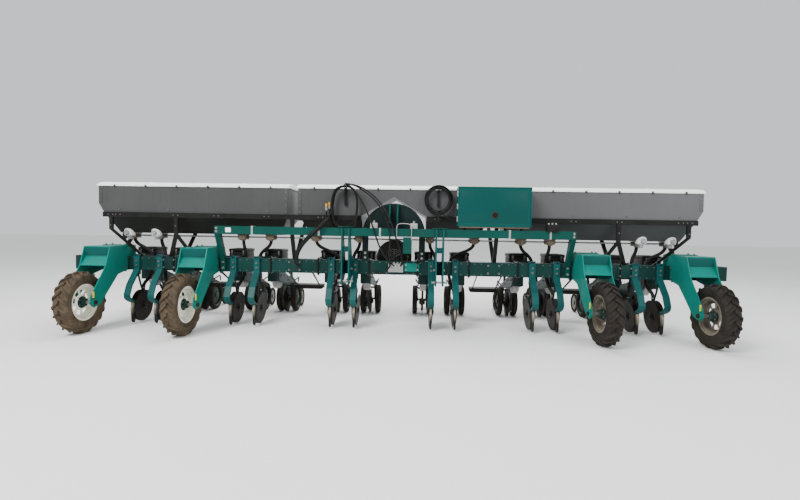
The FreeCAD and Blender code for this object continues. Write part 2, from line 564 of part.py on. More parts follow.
# --- row units -----------------------------------------------------------------------------------------
def make_row_units():
    ear_x = "head_width / 2 - 40"
    back = box(("head_width - 40", "unit_plate", "toolbar_side + 40"),
               ("-head_width / 2 + 20", "toolbar_side", "toolbar_bottom - 20"))
    ears = [box(("unit_plate", "60", "80"), (x, "toolbar_side + unit_plate", "link_pivot_z - 40"))
            for x in (f"-({ear_x}) - unit_plate", ear_x)]
    bracket = fuse(back, *ears)
    pin_y = "toolbar_side + unit_plate + 35"
    hole = rod("pivot_pin / 2", "head_width", ("-head_width / 2", pin_y, "link_pivot_z"), "X")
    node("row_unit_brackets", copies(cut(bracket, hole), SEED_ROWS))
    pin = rod("pivot_pin / 2", "head_width - 20", ("-head_width / 2 + 10", pin_y, "link_pivot_z"), "X")
    node("row_unit_pins", copies(pin, SEED_ROWS))

    bar_end = f"{pin_y} - 20"
    upper_bars = []
    for x in (f"-({ear_x}) + 1", f"{ear_x} - 1 - link_bar_thick"):
        bar = box(("link_bar_thick", f"head_back - ({bar_end})", "link_bar"), (x, bar_end, "link_pivot_z - link_bar / 2"))
        bore = rod("pivot_pin / 2 + running_gap", "link_bar_thick * 3", (f"{x} - link_bar_thick", pin_y, "link_pivot_z"), "X")
        upper_bars.append(cut(bar, bore))
    lower_bars = [box(("link_bar_thick", f"head_back - ({bar_end}) - 40", "link_bar"),
                      (x, f"{bar_end} + 40", "link_pivot_z - link_drop - link_bar / 2"))
                  for x in (f"-({ear_x}) + 1", f"{ear_x} - 1 - link_bar_thick")]
    seed_box = hollow_box(("head_width", "head_depth", "head_height"), ("-head_width / 2", "head_back", "head_bottom"))
    meter = rod("120", "90", ("-45", "head_back + head_depth - 100", "head_bottom - 120"), "X")
    frame_side = [("head_back + 40", "head_bottom"), ("head_back + head_depth - 20", "head_bottom"), ("gauge_back - 150", "540"),
                  ("closing_back - 60", "360"), ("closing_back + 20", "closing_diameter / 2 - 20"),
                  ("closing_back - 40", "closing_diameter / 2 - 20"), ("closing_back - 130", "300"),
                  ("gauge_back - 50", "gauge_diameter / 2 - 30"), ("gauge_back - 130", "gauge_diameter / 2 + 20"),
                  ("gauge_back - 190", "440"), ("head_back + 60", "530")]
    frames = [plate(frame_side, "unit_plate", (x, "0", "0"))
              for x in ("-unit_frame_gap - unit_plate", "unit_frame_gap")]
    gauge_axle = rod("gauge_axle / 2", "gauge_gap + 2 * gauge_width - 40",
                     ("-(gauge_gap + 2 * gauge_width - 40) / 2", "gauge_back", "gauge_diameter / 2"), "X")
    frames = [cut(side, rod("gauge_axle / 2", "unit_plate * 3",
                            (f"{x} - unit_plate", "gauge_back", "gauge_diameter / 2"), "X"))
              for side, x in zip(frames, ("-unit_frame_gap - unit_plate", "unit_frame_gap"))]
    gauges = []
    closers = []
    for sign in (-1, 1):
        gauge = turned([("0", "gauge_diameter / 2 - 12"), ("12", "gauge_diameter / 2"), ("gauge_width - 12", "gauge_diameter / 2"),
                        ("gauge_width", "gauge_diameter / 2 - 12"), ("gauge_width", "gauge_diameter / 2 - 70"),
                        ("gauge_width - 30", "gauge_diameter / 2 - 75"), ("gauge_width - 30", "45"),
                        ("gauge_width - 22", "45"), ("gauge_width - 22", "gauge_axle / 2"), ("gauge_width - 60", "gauge_axle / 2"),
                        ("gauge_width - 60", "45"), ("gauge_width - 40", "45"), ("gauge_width - 40", "gauge_diameter / 2 - 75"),
                        ("0", "gauge_diameter / 2 - 70")],
                       (f"{sign} * gauge_gap / 2", "gauge_back", "gauge_diameter / 2"),
                       rotation(0, 0, 1, 0) if sign > 0 else rotation(0, 0, 1, 180))
        gauges.append(gauge)
        closers.append(rod("closing_diameter / 2", "closing_width",
                           (f"{sign * (S.unit_frame_gap + S.unit_plate) + min(sign, 0) * S.closing_width}",
                            "closing_back", "closing_diameter / 2"), "X"))
    discs = [rod("seed_disc_diameter / 2", "disc_thick", (x, "seed_disc_back", "seed_disc_diameter / 2 + seed_disc_lift"),
                 turn=rotation(0, 1, 0, 90)) for x in ("-6 - disc_thick", "6")]
    disc_hub = rod("22", "2 * unit_frame_gap", ("-unit_frame_gap", "seed_disc_back", "seed_disc_diameter / 2 + seed_disc_lift"), "X")
    hole = rod("22", "200", ("-100", "seed_disc_back", "seed_disc_diameter / 2 + seed_disc_lift"), "X")
    discs = [cut(disc, hole) for disc in discs]
    unit = group([*upper_bars, *lower_bars, seed_box, meter, *frames, gauge_axle, *gauges, *closers, *discs, disc_hub])
    for number, x in enumerate(SEED_ROWS, start=1):
        node(f"row_unit_{number:02d}", [unit], (str(x), "0", "0"))


# --- control box, fan, hydraulics and steps ------------------------------------------------------------
def make_fittings():
    back = "-hopper_front - box_standoff"
    case = box(("box_right - box_left", "box_depth", "box_top - box_bottom"),
               ("box_left", f"{back} - box_depth", "box_bottom"))
    inside = box(("box_right - box_left - 2 * box_wall", "box_depth", "box_top - box_bottom - 2 * box_wall"),
                 ("box_left + box_wall", f"{back} - box_depth - box_wall", "box_bottom + box_wall"))
    door = box(("box_right - box_left", "door_thick", "box_top - box_bottom"),
               ("box_left", f"{back} - box_depth - door_thick", "box_bottom"))
    mounts = [box(("40", "box_standoff", "180"), (x, back, "rail_top + 60")) for x in ("box_left + 120", "box_right - 160")]
    node("control_box", [cut(case, inside), *mounts])
    node("control_box_door", [door])
    node("control_knob", [rod("knob_diameter / 2", "knob_length",
                              ("knob_x", f"{back} - box_depth - door_thick - knob_length", "knob_z"), "Y")])
    fan = rod("fan_radius", "fan_depth", ("0", "toolbar_side + 20", "fan_z"), "Y")
    scroll = rod("fan_radius - 2 * box_wall", "fan_depth / 2 - 2 * box_wall",
                 ("0", "toolbar_side + 20 + fan_depth / 2 + box_wall", "fan_z"), "Y")
    intake = rod("fan_radius / 2", "fan_depth / 4", ("0", "toolbar_side + 19", "fan_z"), "Y")
    foot = box(("120", "20", "toolbar_side - 20"), ("-60", "toolbar_side", "toolbar_bottom + 10"))
    node("fan_housing", [cut(fan, scroll, intake), foot])
    node("hydraulic_manifold", [box(("190", "80", "110"), ("-60", "-80", "toolbar_bottom + 40"))])
    strap = [("toolbar_side", "toolbar_bottom + 70"), ("toolbar_side", "toolbar_bottom + 30"),
             ("step_back", "step_z + step_board"), ("step_back + 50", "step_z + step_board")]
    step = [box(("step_length", "step_depth", "step_board"), ("-step_length / 2", "step_back", "step_z"))]
    step += [plate(strap, "strap_thick", (x, "0", "0"))
             for x in ("30 - step_length / 2", "step_length / 2 - 30 - strap_thick")]
    gaps = [side * turn * S.pair_pitch for side in (-1, 1) for turn in (1, 2)]
    node("step_boards", copies(group(step), gaps))


# --- stored hoses and cable ----------------------------------------------------------------------------
HOSE_ROUTE = [(-775, -106, 1500), (-812, -190, 1430), (-868, -286, 1358), (-950, -332, 1268), (-1050, -345, 1175),
              (-1140, -322, 1075), (-1205, -262, 970), (-1238, -160, 880), (-1243, -80, 812), (-1243, 0, 812)]
CABLE_ROUTE = [(800, -180, 1430), (748, -180, 1430), (694, -172, 1444), (648, -150, 1478), (612, -126, 1530)]


def ring(x, half_width, rise, bundle, centre_z):
    """A bundle of turns hung on a hook, as one closed ring: two half circles and two straight sides."""
    y = -S.hook_back - S.hook_rod - bundle / 2
    left, right = x - half_width, x + half_width
    high, low = centre_z + rise, centre_z - rise
    edges = [Part.Arc(FreeCAD.Vector(left, y, high), FreeCAD.Vector(x, y, high + half_width),
                      FreeCAD.Vector(right, y, high)).toShape()]
    if rise:
        edges.append(Part.LineSegment(FreeCAD.Vector(right, y, high), FreeCAD.Vector(right, y, low)).toShape())
    edges.append(Part.Arc(FreeCAD.Vector(right, y, low), FreeCAD.Vector(x, y, low - half_width),
                          FreeCAD.Vector(left, y, low)).toShape())
    if rise:
        edges.append(Part.LineSegment(FreeCAD.Vector(left, y, low), FreeCAD.Vector(left, y, high)).toShape())
    section = Part.Wire(Part.makeCircle(bundle / 2, FreeCAD.Vector(left, y, high), FreeCAD.Vector(0, 0, 1)))
    thing = doc.addObject("Part::Feature", "turns")
    thing.Shape = Part.Wire(edges).makePipeShell([section], True, False)
    return thing


def make_stored_hoses():
    hooks = []
    for x, bundle in (("hose_loop_x", "hose_bundle"), ("cable_coil_x", "cable_bundle")):
        hooks.append(fuse(
            box(("30", "hook_back - hopper_front", "40"), (f"{x} - 15", "-hook_back", "1600")),
            box(("30", "8", "hook_z - 1600"), (f"{x} - 15", "-hook_back - 8", "1600")),
            rod("hook_rod / 2", "hook_reach", (x, "-hook_back - hook_reach - 8", "hook_z"), "Y"),
            rod("hook_rod / 2", "55", (x, "-hook_back - hook_reach - 8", "hook_z"), "Z")))
    node("hose_hooks", hooks)
    loop_z = S.hook_z + S.hook_rod / 2 + S.hose_bundle / 2 - S.hose_loop_half - S.hose_loop_rise
    coil_z = S.hook_z + S.hook_rod / 2 + S.cable_bundle / 2 - S.cable_coil_half
    node("hydraulic_hose_loop", [ring(S.hose_loop_x, S.hose_loop_half, S.hose_loop_rise, S.hose_bundle, loop_z)])
    node("control_cable_coil", [ring(S.cable_coil_x, S.cable_coil_half, 0, S.cable_bundle, coil_z)])
    run, radii = tube_along(HOSE_ROUTE, S.hose_bundle)
    print("hydraulic hose radii", [round(radius) for radius in radii])
    node("hydraulic_hose_run", [run])
    lead, radii = tube_along(CABLE_ROUTE, S.cable_diameter)
    print("control cable radii", [round(radius) for radius in radii])
    node("control_cable_lead", [lead])
    beside = S.hose_loop_x - S.hose_loop_half - (S.hose_bundle + S.coupling_diameter) / 2 - 0.3
    loop_y = "-hook_back - hook_rod - hose_bundle / 2"
    ends = [rod("coupling_diameter / 2", "coupling_length", (str(beside - step * (S.coupling_diameter + 0.3)), loop_y,
                                                             str(loop_z - step * 20 - 40)), "Z") for step in (0, 1)]
    under = str(coil_z - S.cable_coil_half - S.cable_bundle / 2 - S.coupling_length - 0.3)
    ends.append(rod("coupling_diameter / 2", "coupling_length",
                    ("cable_coil_x", "-hook_back - hook_rod - cable_bundle / 2", under), "Z"))
    node("couplings_and_plug", ends)


make_toolbar()
make_hitch()
make_wheels()
make_tanks()
make_lid_hinges()
make_hopper_frame()
make_metering()
make_fertiliser_hoses()
make_openers()
make_row_units()
make_fittings()
make_stored_hoses()

doc.recompute()
for thing in doc.Objects:
    if "Invalid" in thing.State or "Error" in thing.State:
        raise ValueError(f"{thing.Label} did not recompute: {thing.State}")
for thing in NODES:
    if thing.Shape.isNull() or not thing.Shape.isValid() or not thing.Shape.Solids:
        raise ValueError(f"{thing.Label} has no valid solid")

os.makedirs("parts", exist_ok=True)
for thing in NODES:
    solids = thing.Shape.Solids
    shape = solids[0] if len(solids) == 1 else Part.makeCompound(solids)
    shape.exportStep(f"parts/{thing.Label}.step")
print(len(NODES), "nodes,", sum(len(thing.Shape.Solids) for thing in NODES), "solids")
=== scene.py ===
import math

import bmesh
import bpy
from bpy.props import FloatProperty, FloatVectorProperty, IntProperty, PointerProperty
from mathutils import Matrix, Vector


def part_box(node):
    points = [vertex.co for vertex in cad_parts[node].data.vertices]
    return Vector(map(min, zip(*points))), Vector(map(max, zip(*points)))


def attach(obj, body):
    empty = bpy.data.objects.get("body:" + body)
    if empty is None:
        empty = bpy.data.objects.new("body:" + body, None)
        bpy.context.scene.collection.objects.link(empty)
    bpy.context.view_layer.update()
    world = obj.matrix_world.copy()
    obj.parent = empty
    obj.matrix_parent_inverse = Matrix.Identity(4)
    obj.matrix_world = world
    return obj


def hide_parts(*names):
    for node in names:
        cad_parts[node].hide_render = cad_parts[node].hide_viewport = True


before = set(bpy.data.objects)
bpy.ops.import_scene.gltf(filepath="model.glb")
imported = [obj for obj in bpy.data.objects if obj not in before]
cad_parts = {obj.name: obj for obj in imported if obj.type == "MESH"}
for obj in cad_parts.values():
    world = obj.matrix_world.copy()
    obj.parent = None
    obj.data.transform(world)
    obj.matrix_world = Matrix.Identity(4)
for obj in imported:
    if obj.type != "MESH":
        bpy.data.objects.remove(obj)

bl_info = {
    "name": "Corn planter",
    "version": (1, 0, 0),
    "blender": (4, 5, 0),
    "location": "3D View > Sidebar > Planter",
    "description": "Builds the visible pieces and finishes of a twelve-row corn planter",
    "category": "Object",
}

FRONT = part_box("toolbar")[0].y
PAIR_PITCH = 1.3
PAIRS = [(index - 2.5) * PAIR_PITCH for index in range(6)]
OPENERS = [x + side * 0.155 for x in PAIRS for side in (-1, 1)]
SEED_ROWS = [x + side * 0.25 for x in PAIRS for side in (-1, 1)]
METERS = sorted(side * x for x in (0.48, 1.08, 1.71, 2.1, 3.26, 3.64) for side in (-1, 1))
WHEELS = {"left_outer": -3.714, "left_inner": -2.474, "right_inner": 2.474, "right_outer": 3.714}
AXLE_Y = -0.647
AXLE_Z = 0.3675
TANKS = (("left", -3.91, -1.383), ("centre", -1.253, 1.253), ("right", 1.383, 3.91))
TANK_FACE = -0.034
RAIL_FACE = -0.062
FORK_HALF = 0.15
FORK_CHEEK = 0.171
HITCH_LEG = 2.235
LOWER_LINK = 0.59
BOX_FACE = -0.291
BOX_SIDES = (0.8, 1.7)
BOX_EDGES = (1.35, 1.84)
KNOB_CENTRE = (1.255, 1.495)
FAN_HEIGHT = 0.925
BLOCK_HEIGHT = 0.835
BLOCK_PORTS = (-0.035, 0.01, 0.055, 0.1)
METER_SHAFT = (0.316, 1.165)
HOOKED_HOSES = (-0.625, 1.589)
COIL_CENTRE = (0.57, 1.691)
FACING_FRONT = Matrix.Rotation(math.radians(90), 4, "X")
FACING_SIDE = Matrix.Rotation(math.radians(90), 4, "Y")

HOSE_ROUTE = [(-0.775, -0.106, 1.5), (-0.812, -0.19, 1.43), (-0.868, -0.286, 1.358), (-0.95, -0.332, 1.268),
              (-1.05, -0.345, 1.175), (-1.14, -0.322, 1.075), (-1.205, -0.262, 0.97), (-1.238, -0.16, 0.88),
              (-1.243, -0.08, 0.812), (-1.243, 0.0, 0.812)]
CABLE_ROUTE = [(0.8, -0.18, 1.43), (0.748, -0.18, 1.43), (0.694, -0.172, 1.444), (0.648, -0.15, 1.478),
               (0.612, -0.126, 1.53)]

HOSE_TAIL = [(0.1, -0.03, -0.25), (0.045, -0.018, -0.198), (0.012, -0.006, -0.12), (0.0, 0.0, -0.06),
             (0.0, 0.0, 0.0)]
SUPPLY_ROUTES = [
    [(-0.035, -0.096, 0.835), (-0.035, -0.15, 0.84), (-0.04, -0.22, 0.91), (-0.035, -0.28, 1.02),
     (-0.03, -0.3, 1.18), (-0.045, -0.3, 1.34), (-0.12, -0.27, 1.52), (-0.24, -0.22, 1.68),
     (-0.4, -0.185, 1.8),
     (-0.52, -0.175, 1.86), (-0.6, -0.17, 1.868)],
    [(0.01, -0.096, 0.835), (0.01, -0.14, 0.838), (-0.02, -0.2, 0.87), (-0.1, -0.262, 0.96),
     (-0.17, -0.29, 1.1), (-0.235, -0.292, 1.29), (-0.3, -0.25, 1.46), (-0.39, -0.21, 1.64),
     (-0.49, -0.198, 1.79),
     (-0.57, -0.197, 1.852), (-0.615, -0.197, 1.862)],
    [(0.1, -0.096, 0.835), (0.1, -0.15, 0.84), (0.125, -0.22, 0.9), (0.11, -0.285, 1.0), (0.06, -0.325, 1.15),
     (0.01, -0.33, 1.3), (-0.04, -0.32, 1.44), (-0.16, -0.27, 1.64), (-0.33, -0.232, 1.79),
     (-0.5, -0.222, 1.858),
     (-0.61, -0.222, 1.865)]]


class PlanterColours(bpy.types.PropertyGroup):
    """The paints and coverings"""
    # Painted light: the frame's teal as it looks on the forks' sunlit slopes; the forks use it and the hitch
    # beam takes a darker, shaded copy of it.
    sunlit_frame_paint: FloatVectorProperty(
        name="Bright paint", description="Sun-bleached paint of the wheel forks and hitch beam",
        subtype="COLOR", size=3, min=0.0, max=1.0, default=(0.0005, 0.15, 0.12))
    # Painted shade: the same frame teal, darkened for the toolbar's shaded front.
    shaded_frame_paint: FloatVectorProperty(
        name="Dark paint", description="Paint of the toolbar",
        subtype="COLOR", size=3, min=0.0, max=1.0, default=(0.002, 0.024, 0.021))
    tank: FloatVectorProperty(
        name="Tank", description="Grey sheet of the fertiliser tank",
        subtype="COLOR", size=3, min=0.0, max=1.0, default=(0.05, 0.0505, 0.0505))
    lid: FloatVectorProperty(
        name="Lid", description="Pale covers of the tank",
        subtype="COLOR", size=3, min=0.0, max=1.0, default=(0.95, 0.95, 0.945))
    soil: FloatVectorProperty(
        name="Soil", description="Dry soil dusted on the low parts",
        subtype="COLOR", size=3, min=0.0, max=1.0, default=(0.12, 0.09, 0.06))


class PlanterSizes(bpy.types.PropertyGroup):
    """The sizes that a maker may change"""
    lug_pairs: IntProperty(
        name="Lug pairs", description="Tread lugs on each side of a tyre", min=12, max=30, default=20)
    lug_height: FloatProperty(
        name="Lug height", description="How far a lug stands out of its tyre",
        unit="LENGTH", min=0.008, max=0.03, default=0.024)
    hose_diameter: FloatProperty(
        name="Hose diameter", description="Outside diameter of one hydraulic hose",
        unit="LENGTH", min=0.012, max=0.024, default=0.02)
    cable_diameter: FloatProperty(
        name="Cable diameter", description="Outside diameter of the control cable",
        unit="LENGTH", min=0.008, max=0.015, default=0.014)
    latch_pitch: FloatProperty(
        name="Latch pitch", description="Distance between the latches of a lid",
        unit="LENGTH", min=0.3, max=0.6, default=0.415)
    bolt_pitch: FloatProperty(
        name="Bolt pitch", description="Distance between the bolts along the toolbar",
        unit="LENGTH", min=0.06, max=0.2, default=0.088)


# --- shapes --------------------------------------------------------------------------------------------
def at(x, y, z):
    """A point whose y is measured from the toolbar's front face."""
    return Vector((x, FRONT + y, z))


class Shape:
    """A piece under construction, put together from simple closed forms with a finish number each."""

    def __init__(self):
        self.mesh = bmesh.new()

    def keep(self, verts, finish, place=None):
        if place is not None:
            bmesh.ops.transform(self.mesh, matrix=place, verts=verts)
        for face in {face for vert in verts for face in vert.link_faces}:
            face.material_index = finish
        return verts

    def soften(self, verts, width, segments=2):
        """Rounds the sharp edges of a form that stands alone, and returns its vertices."""
        edges = list({edge for vert in verts for edge in vert.link_edges if edge.calc_face_angle(0.0) > 0.5})
        made = bmesh.ops.bevel(self.mesh, geom=edges, offset=width, affect="EDGES", segments=segments,
                               profile=0.5, material=-1)
        return list({vert for vert in [*verts, *made["verts"]] if vert.is_valid})

    def block(self, low, high, round_off=0.004, finish=0, place=None, segments=2):
        low, high = Vector(low), Vector(high)
        size = high - low
        verts = bmesh.ops.create_cube(self.mesh, size=1.0)["verts"]
        bmesh.ops.scale(self.mesh, vec=size, verts=verts)
        bmesh.ops.translate(self.mesh, vec=(low + high) / 2, verts=verts)
        if round_off:
            verts = self.soften(verts, min(round_off, min(size) * 0.45), segments)
        return self.keep(verts, finish, place)

    def drum(self, centre, radius, length, turn, finish=0, sides=24, round_off=0.003, tip=None):
        """A round or many-sided bar about its centre; turn sends its own Z axis along the bar."""
        verts = bmesh.ops.create_cone(self.mesh, cap_ends=True, cap_tris=False, segments=sides,
                                      radius1=radius, radius2=radius if tip is None else tip,
                                      depth=length)["verts"]
        if round_off:
            rims = list({edge for vert in verts for edge in vert.link_edges
                         if edge.calc_face_angle(0.0) > 0.9})
            made = bmesh.ops.bevel(self.mesh, geom=rims, offset=round_off, affect="EDGES", segments=1,
                                   profile=0.5, material=-1)
            verts = list({vert for vert in [*verts, *made["verts"]] if vert.is_valid})
        return self.keep(verts, finish, Matrix.Translation(centre) @ turn)

    def bolt(self, centre, size, turn, finish=0):
        """A six-sided head on a round washer; the head stands along the turned Z axis."""
        self.drum(centre, size * 0.62, size * 0.14, turn, finish, 12, 0.0)
        off = turn @ Vector((0.0, 0.0, size * 0.36))
        self.drum(Vector(centre) + off, size * 0.5, size * 0.6, turn, finish, 6, size * 0.06)

    def turned(self, profile, centre, turn, steps=48, finish=0, closed=True):
        """A ring turned from a section of (along, radius) points about its own axis."""
        verts = [self.mesh.verts.new((radius, 0.0, along)) for along, radius in profile]
        pairs = list(zip(verts, verts[1:] + verts[:1])) if closed else list(zip(verts, verts[1:]))
        edges = [self.mesh.edges.new(pair) for pair in pairs]
        before = set(self.mesh.verts) - set(verts)
        bmesh.ops.spin(self.mesh, geom=verts + edges, cent=(0, 0, 0), axis=(0, 0, 1), dvec=(0, 0, 0),
                       angle=math.tau, steps=steps, use_merge=True, use_duplicate=False)
        made = [vert for vert in self.mesh.verts if vert not in before]
        faces = list({face for vert in made for face in vert.link_faces})
        bmesh.ops.recalc_face_normals(self.mesh, faces=faces)
        return self.keep(made, finish, Matrix.Translation(centre) @ turn)

    def sheet(self, outline, thickness, place, finish=0, round_off=0.002):
        """A flat plate cut to an outline of (y, z) points, lying across X from 0 to its thickness."""
        verts = [self.mesh.verts.new((0.0, y, z)) for y, z in outline]
        face = self.mesh.faces.new(verts)
        out = bmesh.ops.extrude_face_region(self.mesh, geom=[face])["geom"]
        moved = [item for item in out if isinstance(item, bmesh.types.BMVert)]
        bmesh.ops.translate(self.mesh, vec=(thickness, 0, 0), verts=moved)
        verts = verts + moved
        bmesh.ops.recalc_face_normals(self.mesh, faces=list({f for v in verts for f in v.link_faces}))
        if round_off:
            verts = self.soften(verts, round_off, 1)
        return self.keep(verts, finish, Matrix.Translation(place))

    def tube(self, points, radius, finish=0, sides=10, smooth=True):
        """A round bar bent along a smooth line through the corners given."""
        line = bpy.data.curves.new("bent bar", "CURVE")
        line.dimensions = "3D"
        line.bevel_depth = radius
        line.bevel_resolution = max(1, sides // 4)
        line.use_fill_caps = True
        run = line.splines.new("NURBS" if smooth else "POLY")
        run.points.add(len(points) - 1)
        for knot, point in zip(run.points, points):
            knot.co = (*point, 1.0)
        if smooth:
            run.order_u = 3
            run.use_endpoint_u = True
            run.resolution_u = 6
        holder = bpy.data.objects.new("bent bar", line)
        bpy.context.scene.collection.objects.link(holder)
        bpy.context.view_layer.update()
        skin = bpy.data.meshes.new_from_object(holder)
        bpy.data.objects.remove(holder)
        bpy.data.curves.remove(line)
        self.join(skin, finish)
        bpy.data.meshes.remove(skin)

    def join(self, skin, finish=None, place=None):
        """Adds a copy of a finished mesh."""
        start = len(self.mesh.verts)
        self.mesh.from_mesh(skin)
        self.mesh.verts.ensure_lookup_table()
        verts = self.mesh.verts[start:]
        if place is not None:
            bmesh.ops.transform(self.mesh, matrix=place, verts=verts)
        if finish is not None:
            self.keep(verts, finish)
        return verts

    def to_mesh(self, name):
        data = bpy.data.meshes.new(name)
        self.mesh.to_mesh(data)
        self.mesh.free()
        return data


def finished(shape, name, body, finishes, sharp=32, replaces=()):
    """Turns a shape into a named object that rides on a body."""
    data = shape if isinstance(shape, bpy.types.Mesh) else shape.to_mesh(name)
    for finish in finishes:
        data.materials.append(bpy.data.materials[finish])
    data.shade_smooth()
    data.set_sharp_from_angle(angle=math.radians(sharp))
    piece = bpy.data.objects.new(name, data)
    bpy.context.scene.collection.objects.link(piece)
    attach(piece, body)
    if replaces:
        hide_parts(*replaces)
    return piece


# --- finishes ------------------------------------------------------------------------------------------
def group_input(tree, name, kind, default):
    socket = tree.interface.new_socket(name=name, in_out="INPUT", socket_type=kind)
    if default is not None:
        socket.default_value = default
    return socket


def node_of(tree, kind, inputs=(), **settings):
    """A shader node with its settings and its inputs, each a value or another node's output."""
    node = tree.nodes.new(kind)
    for name, value in settings.items():
        setattr(node, name, value)
    for key, value in dict(inputs).items():
        if isinstance(value, bpy.types.NodeSocket):
            tree.links.new(value, node.inputs[key])
        else:
            node.inputs[key].default_value = value
    return node


def blotches(tree, vector, scale, low, high, detail=4.0, roughness=0.6):
    """Soft-edged patches, from 0 to 1, where a noise is between two levels."""
    noise = node_of(tree, "ShaderNodeTexNoise", {"Vector": vector, "Scale": scale, "Detail": detail,
                                                 "Roughness": roughness})
    return node_of(tree, "ShaderNodeMapRange", {"Value": noise.outputs["Fac"], "From Min": low,
                                                "From Max": high}).outputs["Result"]


def times(tree, first, second):
    return node_of(tree, "ShaderNodeMath", {0: first, 1: second}, operation="MULTIPLY").outputs[0]


def mixed(tree, amount, first, second):
    node = node_of(tree, "ShaderNodeMix", {"Factor": amount}, data_type="RGBA")
    for socket, value in ((node.inputs[6], first), (node.inputs[7], second)):
        if isinstance(value, bpy.types.NodeSocket):
            tree.links.new(value, socket)
        else:
            socket.default_value = value
    return node.outputs[2]


def make_weathering():
    """Colour of a surface left outdoors: it fades in patches, runs with dirt and is dusted near the ground."""
    tree = bpy.data.node_groups.new("weathering", "ShaderNodeTree")
    group_input(tree, "Vector", "NodeSocketVector", None)
    for name, colour in (("Clean", (0.1, 0.3, 0.3, 1)), ("Faded", (0.3, 0.5, 0.5, 1)),
                         ("Dirt", (0.05, 0.04, 0.03, 1)),
                         ("Dust", (0.3, 0.25, 0.2, 1))):
        group_input(tree, name, "NodeSocketColor", colour)
    for name, value in (("Patch Scale", 3.0), ("Fading", 0.5), ("Dirtiness", 0.3), ("Dust Top", 0.5),
                        ("Dustiness", 0.5)):
        group_input(tree, name, "NodeSocketFloat", value)
    tree.interface.new_socket(name="Color", in_out="OUTPUT", socket_type="NodeSocketColor")
    tree.interface.new_socket(name="Soiled", in_out="OUTPUT", socket_type="NodeSocketFloat")
    source = tree.nodes.new("NodeGroupInput").outputs
    patches = times(tree, blotches(tree, source["Vector"], source["Patch Scale"], 0.35, 0.68),
                    source["Fading"])
    faded = mixed(tree, patches, source["Clean"], source["Faded"])
    drawn_out = node_of(tree, "ShaderNodeMapping", {"Vector": source["Vector"], "Scale": (26.0, 26.0, 2.2)})
    runs = blotches(tree, drawn_out.outputs[0], 1.0, 0.5, 0.78, 6.0, 0.7)
    specks = blotches(tree, source["Vector"], 60.0, 0.6, 0.8, 2.0)
    marks = node_of(tree, "ShaderNodeMath", {0: runs, 1: specks}, operation="MAXIMUM").outputs[0]
    dirt = times(tree, marks, source["Dirtiness"])
    dirty = mixed(tree, dirt, faded, source["Dirt"])
    height = node_of(tree, "ShaderNodeSeparateXYZ", {"Vector": source["Vector"]}).outputs["Z"]
    low_down = node_of(tree, "ShaderNodeMapRange", {"Value": height, "From Min": source["Dust Top"],
                                                    "From Max": 0.0}).outputs["Result"]
    cloud = blotches(tree, source["Vector"], 9.0, 0.3, 0.62, 6.0)
    dust = times(tree, times(tree, low_down, cloud), source["Dustiness"])
    colour = mixed(tree, dust, dirty, source["Dust"])
    soiled = node_of(tree, "ShaderNodeMath", {0: dirt, 1: dust}, operation="ADD", use_clamp=True).outputs[0]
    node_of(tree, "NodeGroupOutput", {"Color": colour, "Soiled": soiled})


def make_relief():
    """Height of a fine skin: paint orange peel, moulded grain or cast roughness."""
    tree = bpy.data.node_groups.new("relief", "ShaderNodeTree")
    group_input(tree, "Vector", "NodeSocketVector", None)
    group_input(tree, "Scale", "NodeSocketFloat", 200.0)
    group_input(tree, "Coarse", "NodeSocketFloat", 0.3)
    tree.interface.new_socket(name="Height", in_out="OUTPUT", socket_type="NodeSocketFloat")
    source = tree.nodes.new("NodeGroupInput").outputs
    fine = node_of(tree, "ShaderNodeTexNoise", {"Vector": source["Vector"], "Scale": source["Scale"],
                                                "Detail": 3.0})
    broad = node_of(tree, "ShaderNodeTexNoise", {"Vector": source["Vector"], "Scale": 4.0, "Detail": 2.0})
    raised = times(tree, broad.outputs["Fac"], source["Coarse"])
    total = node_of(tree, "ShaderNodeMath", {0: fine.outputs["Fac"], 1: raised}, operation="ADD")
    node_of(tree, "NodeGroupOutput", {"Height": total.outputs[0]})


def weathered(name, clean, faded, dirt=(0.03, 0.025, 0.02), dust=(0.3, 0.25, 0.19), metallic=0.0, gloss=0.35,
              soiled_gloss=0.75, coat=0.0, patch=3.0, fading=0.5, dirtiness=0.3, dust_top=0.5, dustiness=0.5,
              grain=220.0, relief=0.08, coarse=0.3, sheen=0.12):
    """A material whose colour, gloss and skin vary over the surface."""
    material = bpy.data.materials.new(name)
    material.use_nodes = True
    tree = material.node_tree
    tree.nodes.clear()
    where = tree.nodes.new("ShaderNodeTexCoord").outputs["Object"]
    look = tree.nodes.new("ShaderNodeGroup")
    look.node_tree = bpy.data.node_groups["weathering"]
    tree.links.new(where, look.inputs["Vector"])
    for key, value in (("Clean", (*clean, 1)), ("Faded", (*faded, 1)), ("Dirt", (*dirt, 1)),
                       ("Dust", (*dust, 1)),
                       ("Patch Scale", patch), ("Fading", fading), ("Dirtiness", dirtiness),
                       ("Dust Top", dust_top), ("Dustiness", dustiness)):
        look.inputs[key].default_value = value
    skin = tree.nodes.new("ShaderNodeGroup")
    skin.node_tree = bpy.data.node_groups["relief"]
    tree.links.new(where, skin.inputs["Vector"])
    skin.inputs["Scale"].default_value = grain
    skin.inputs["Coarse"].default_value = coarse
    bump = node_of(tree, "ShaderNodeBump", {"Height": skin.outputs["Height"], "Strength": relief,
                                            "Distance": 0.002})
    rough = node_of(tree, "ShaderNodeMapRange", {"Value": look.outputs["Soiled"], "To Min": gloss,
                                                 "To Max": soiled_gloss})
    shader = node_of(tree, "ShaderNodeBsdfPrincipled", {
        "Base Color": look.outputs["Color"], "Roughness": rough.outputs["Result"],
        "Normal": bump.outputs["Normal"],
        "Metallic": metallic, "Specular IOR Level": sheen, "Coat Weight": coat, "Coat Roughness": 0.2})
    node_of(tree, "ShaderNodeOutputMaterial", {"Surface": shader.outputs["BSDF"]})
    return material


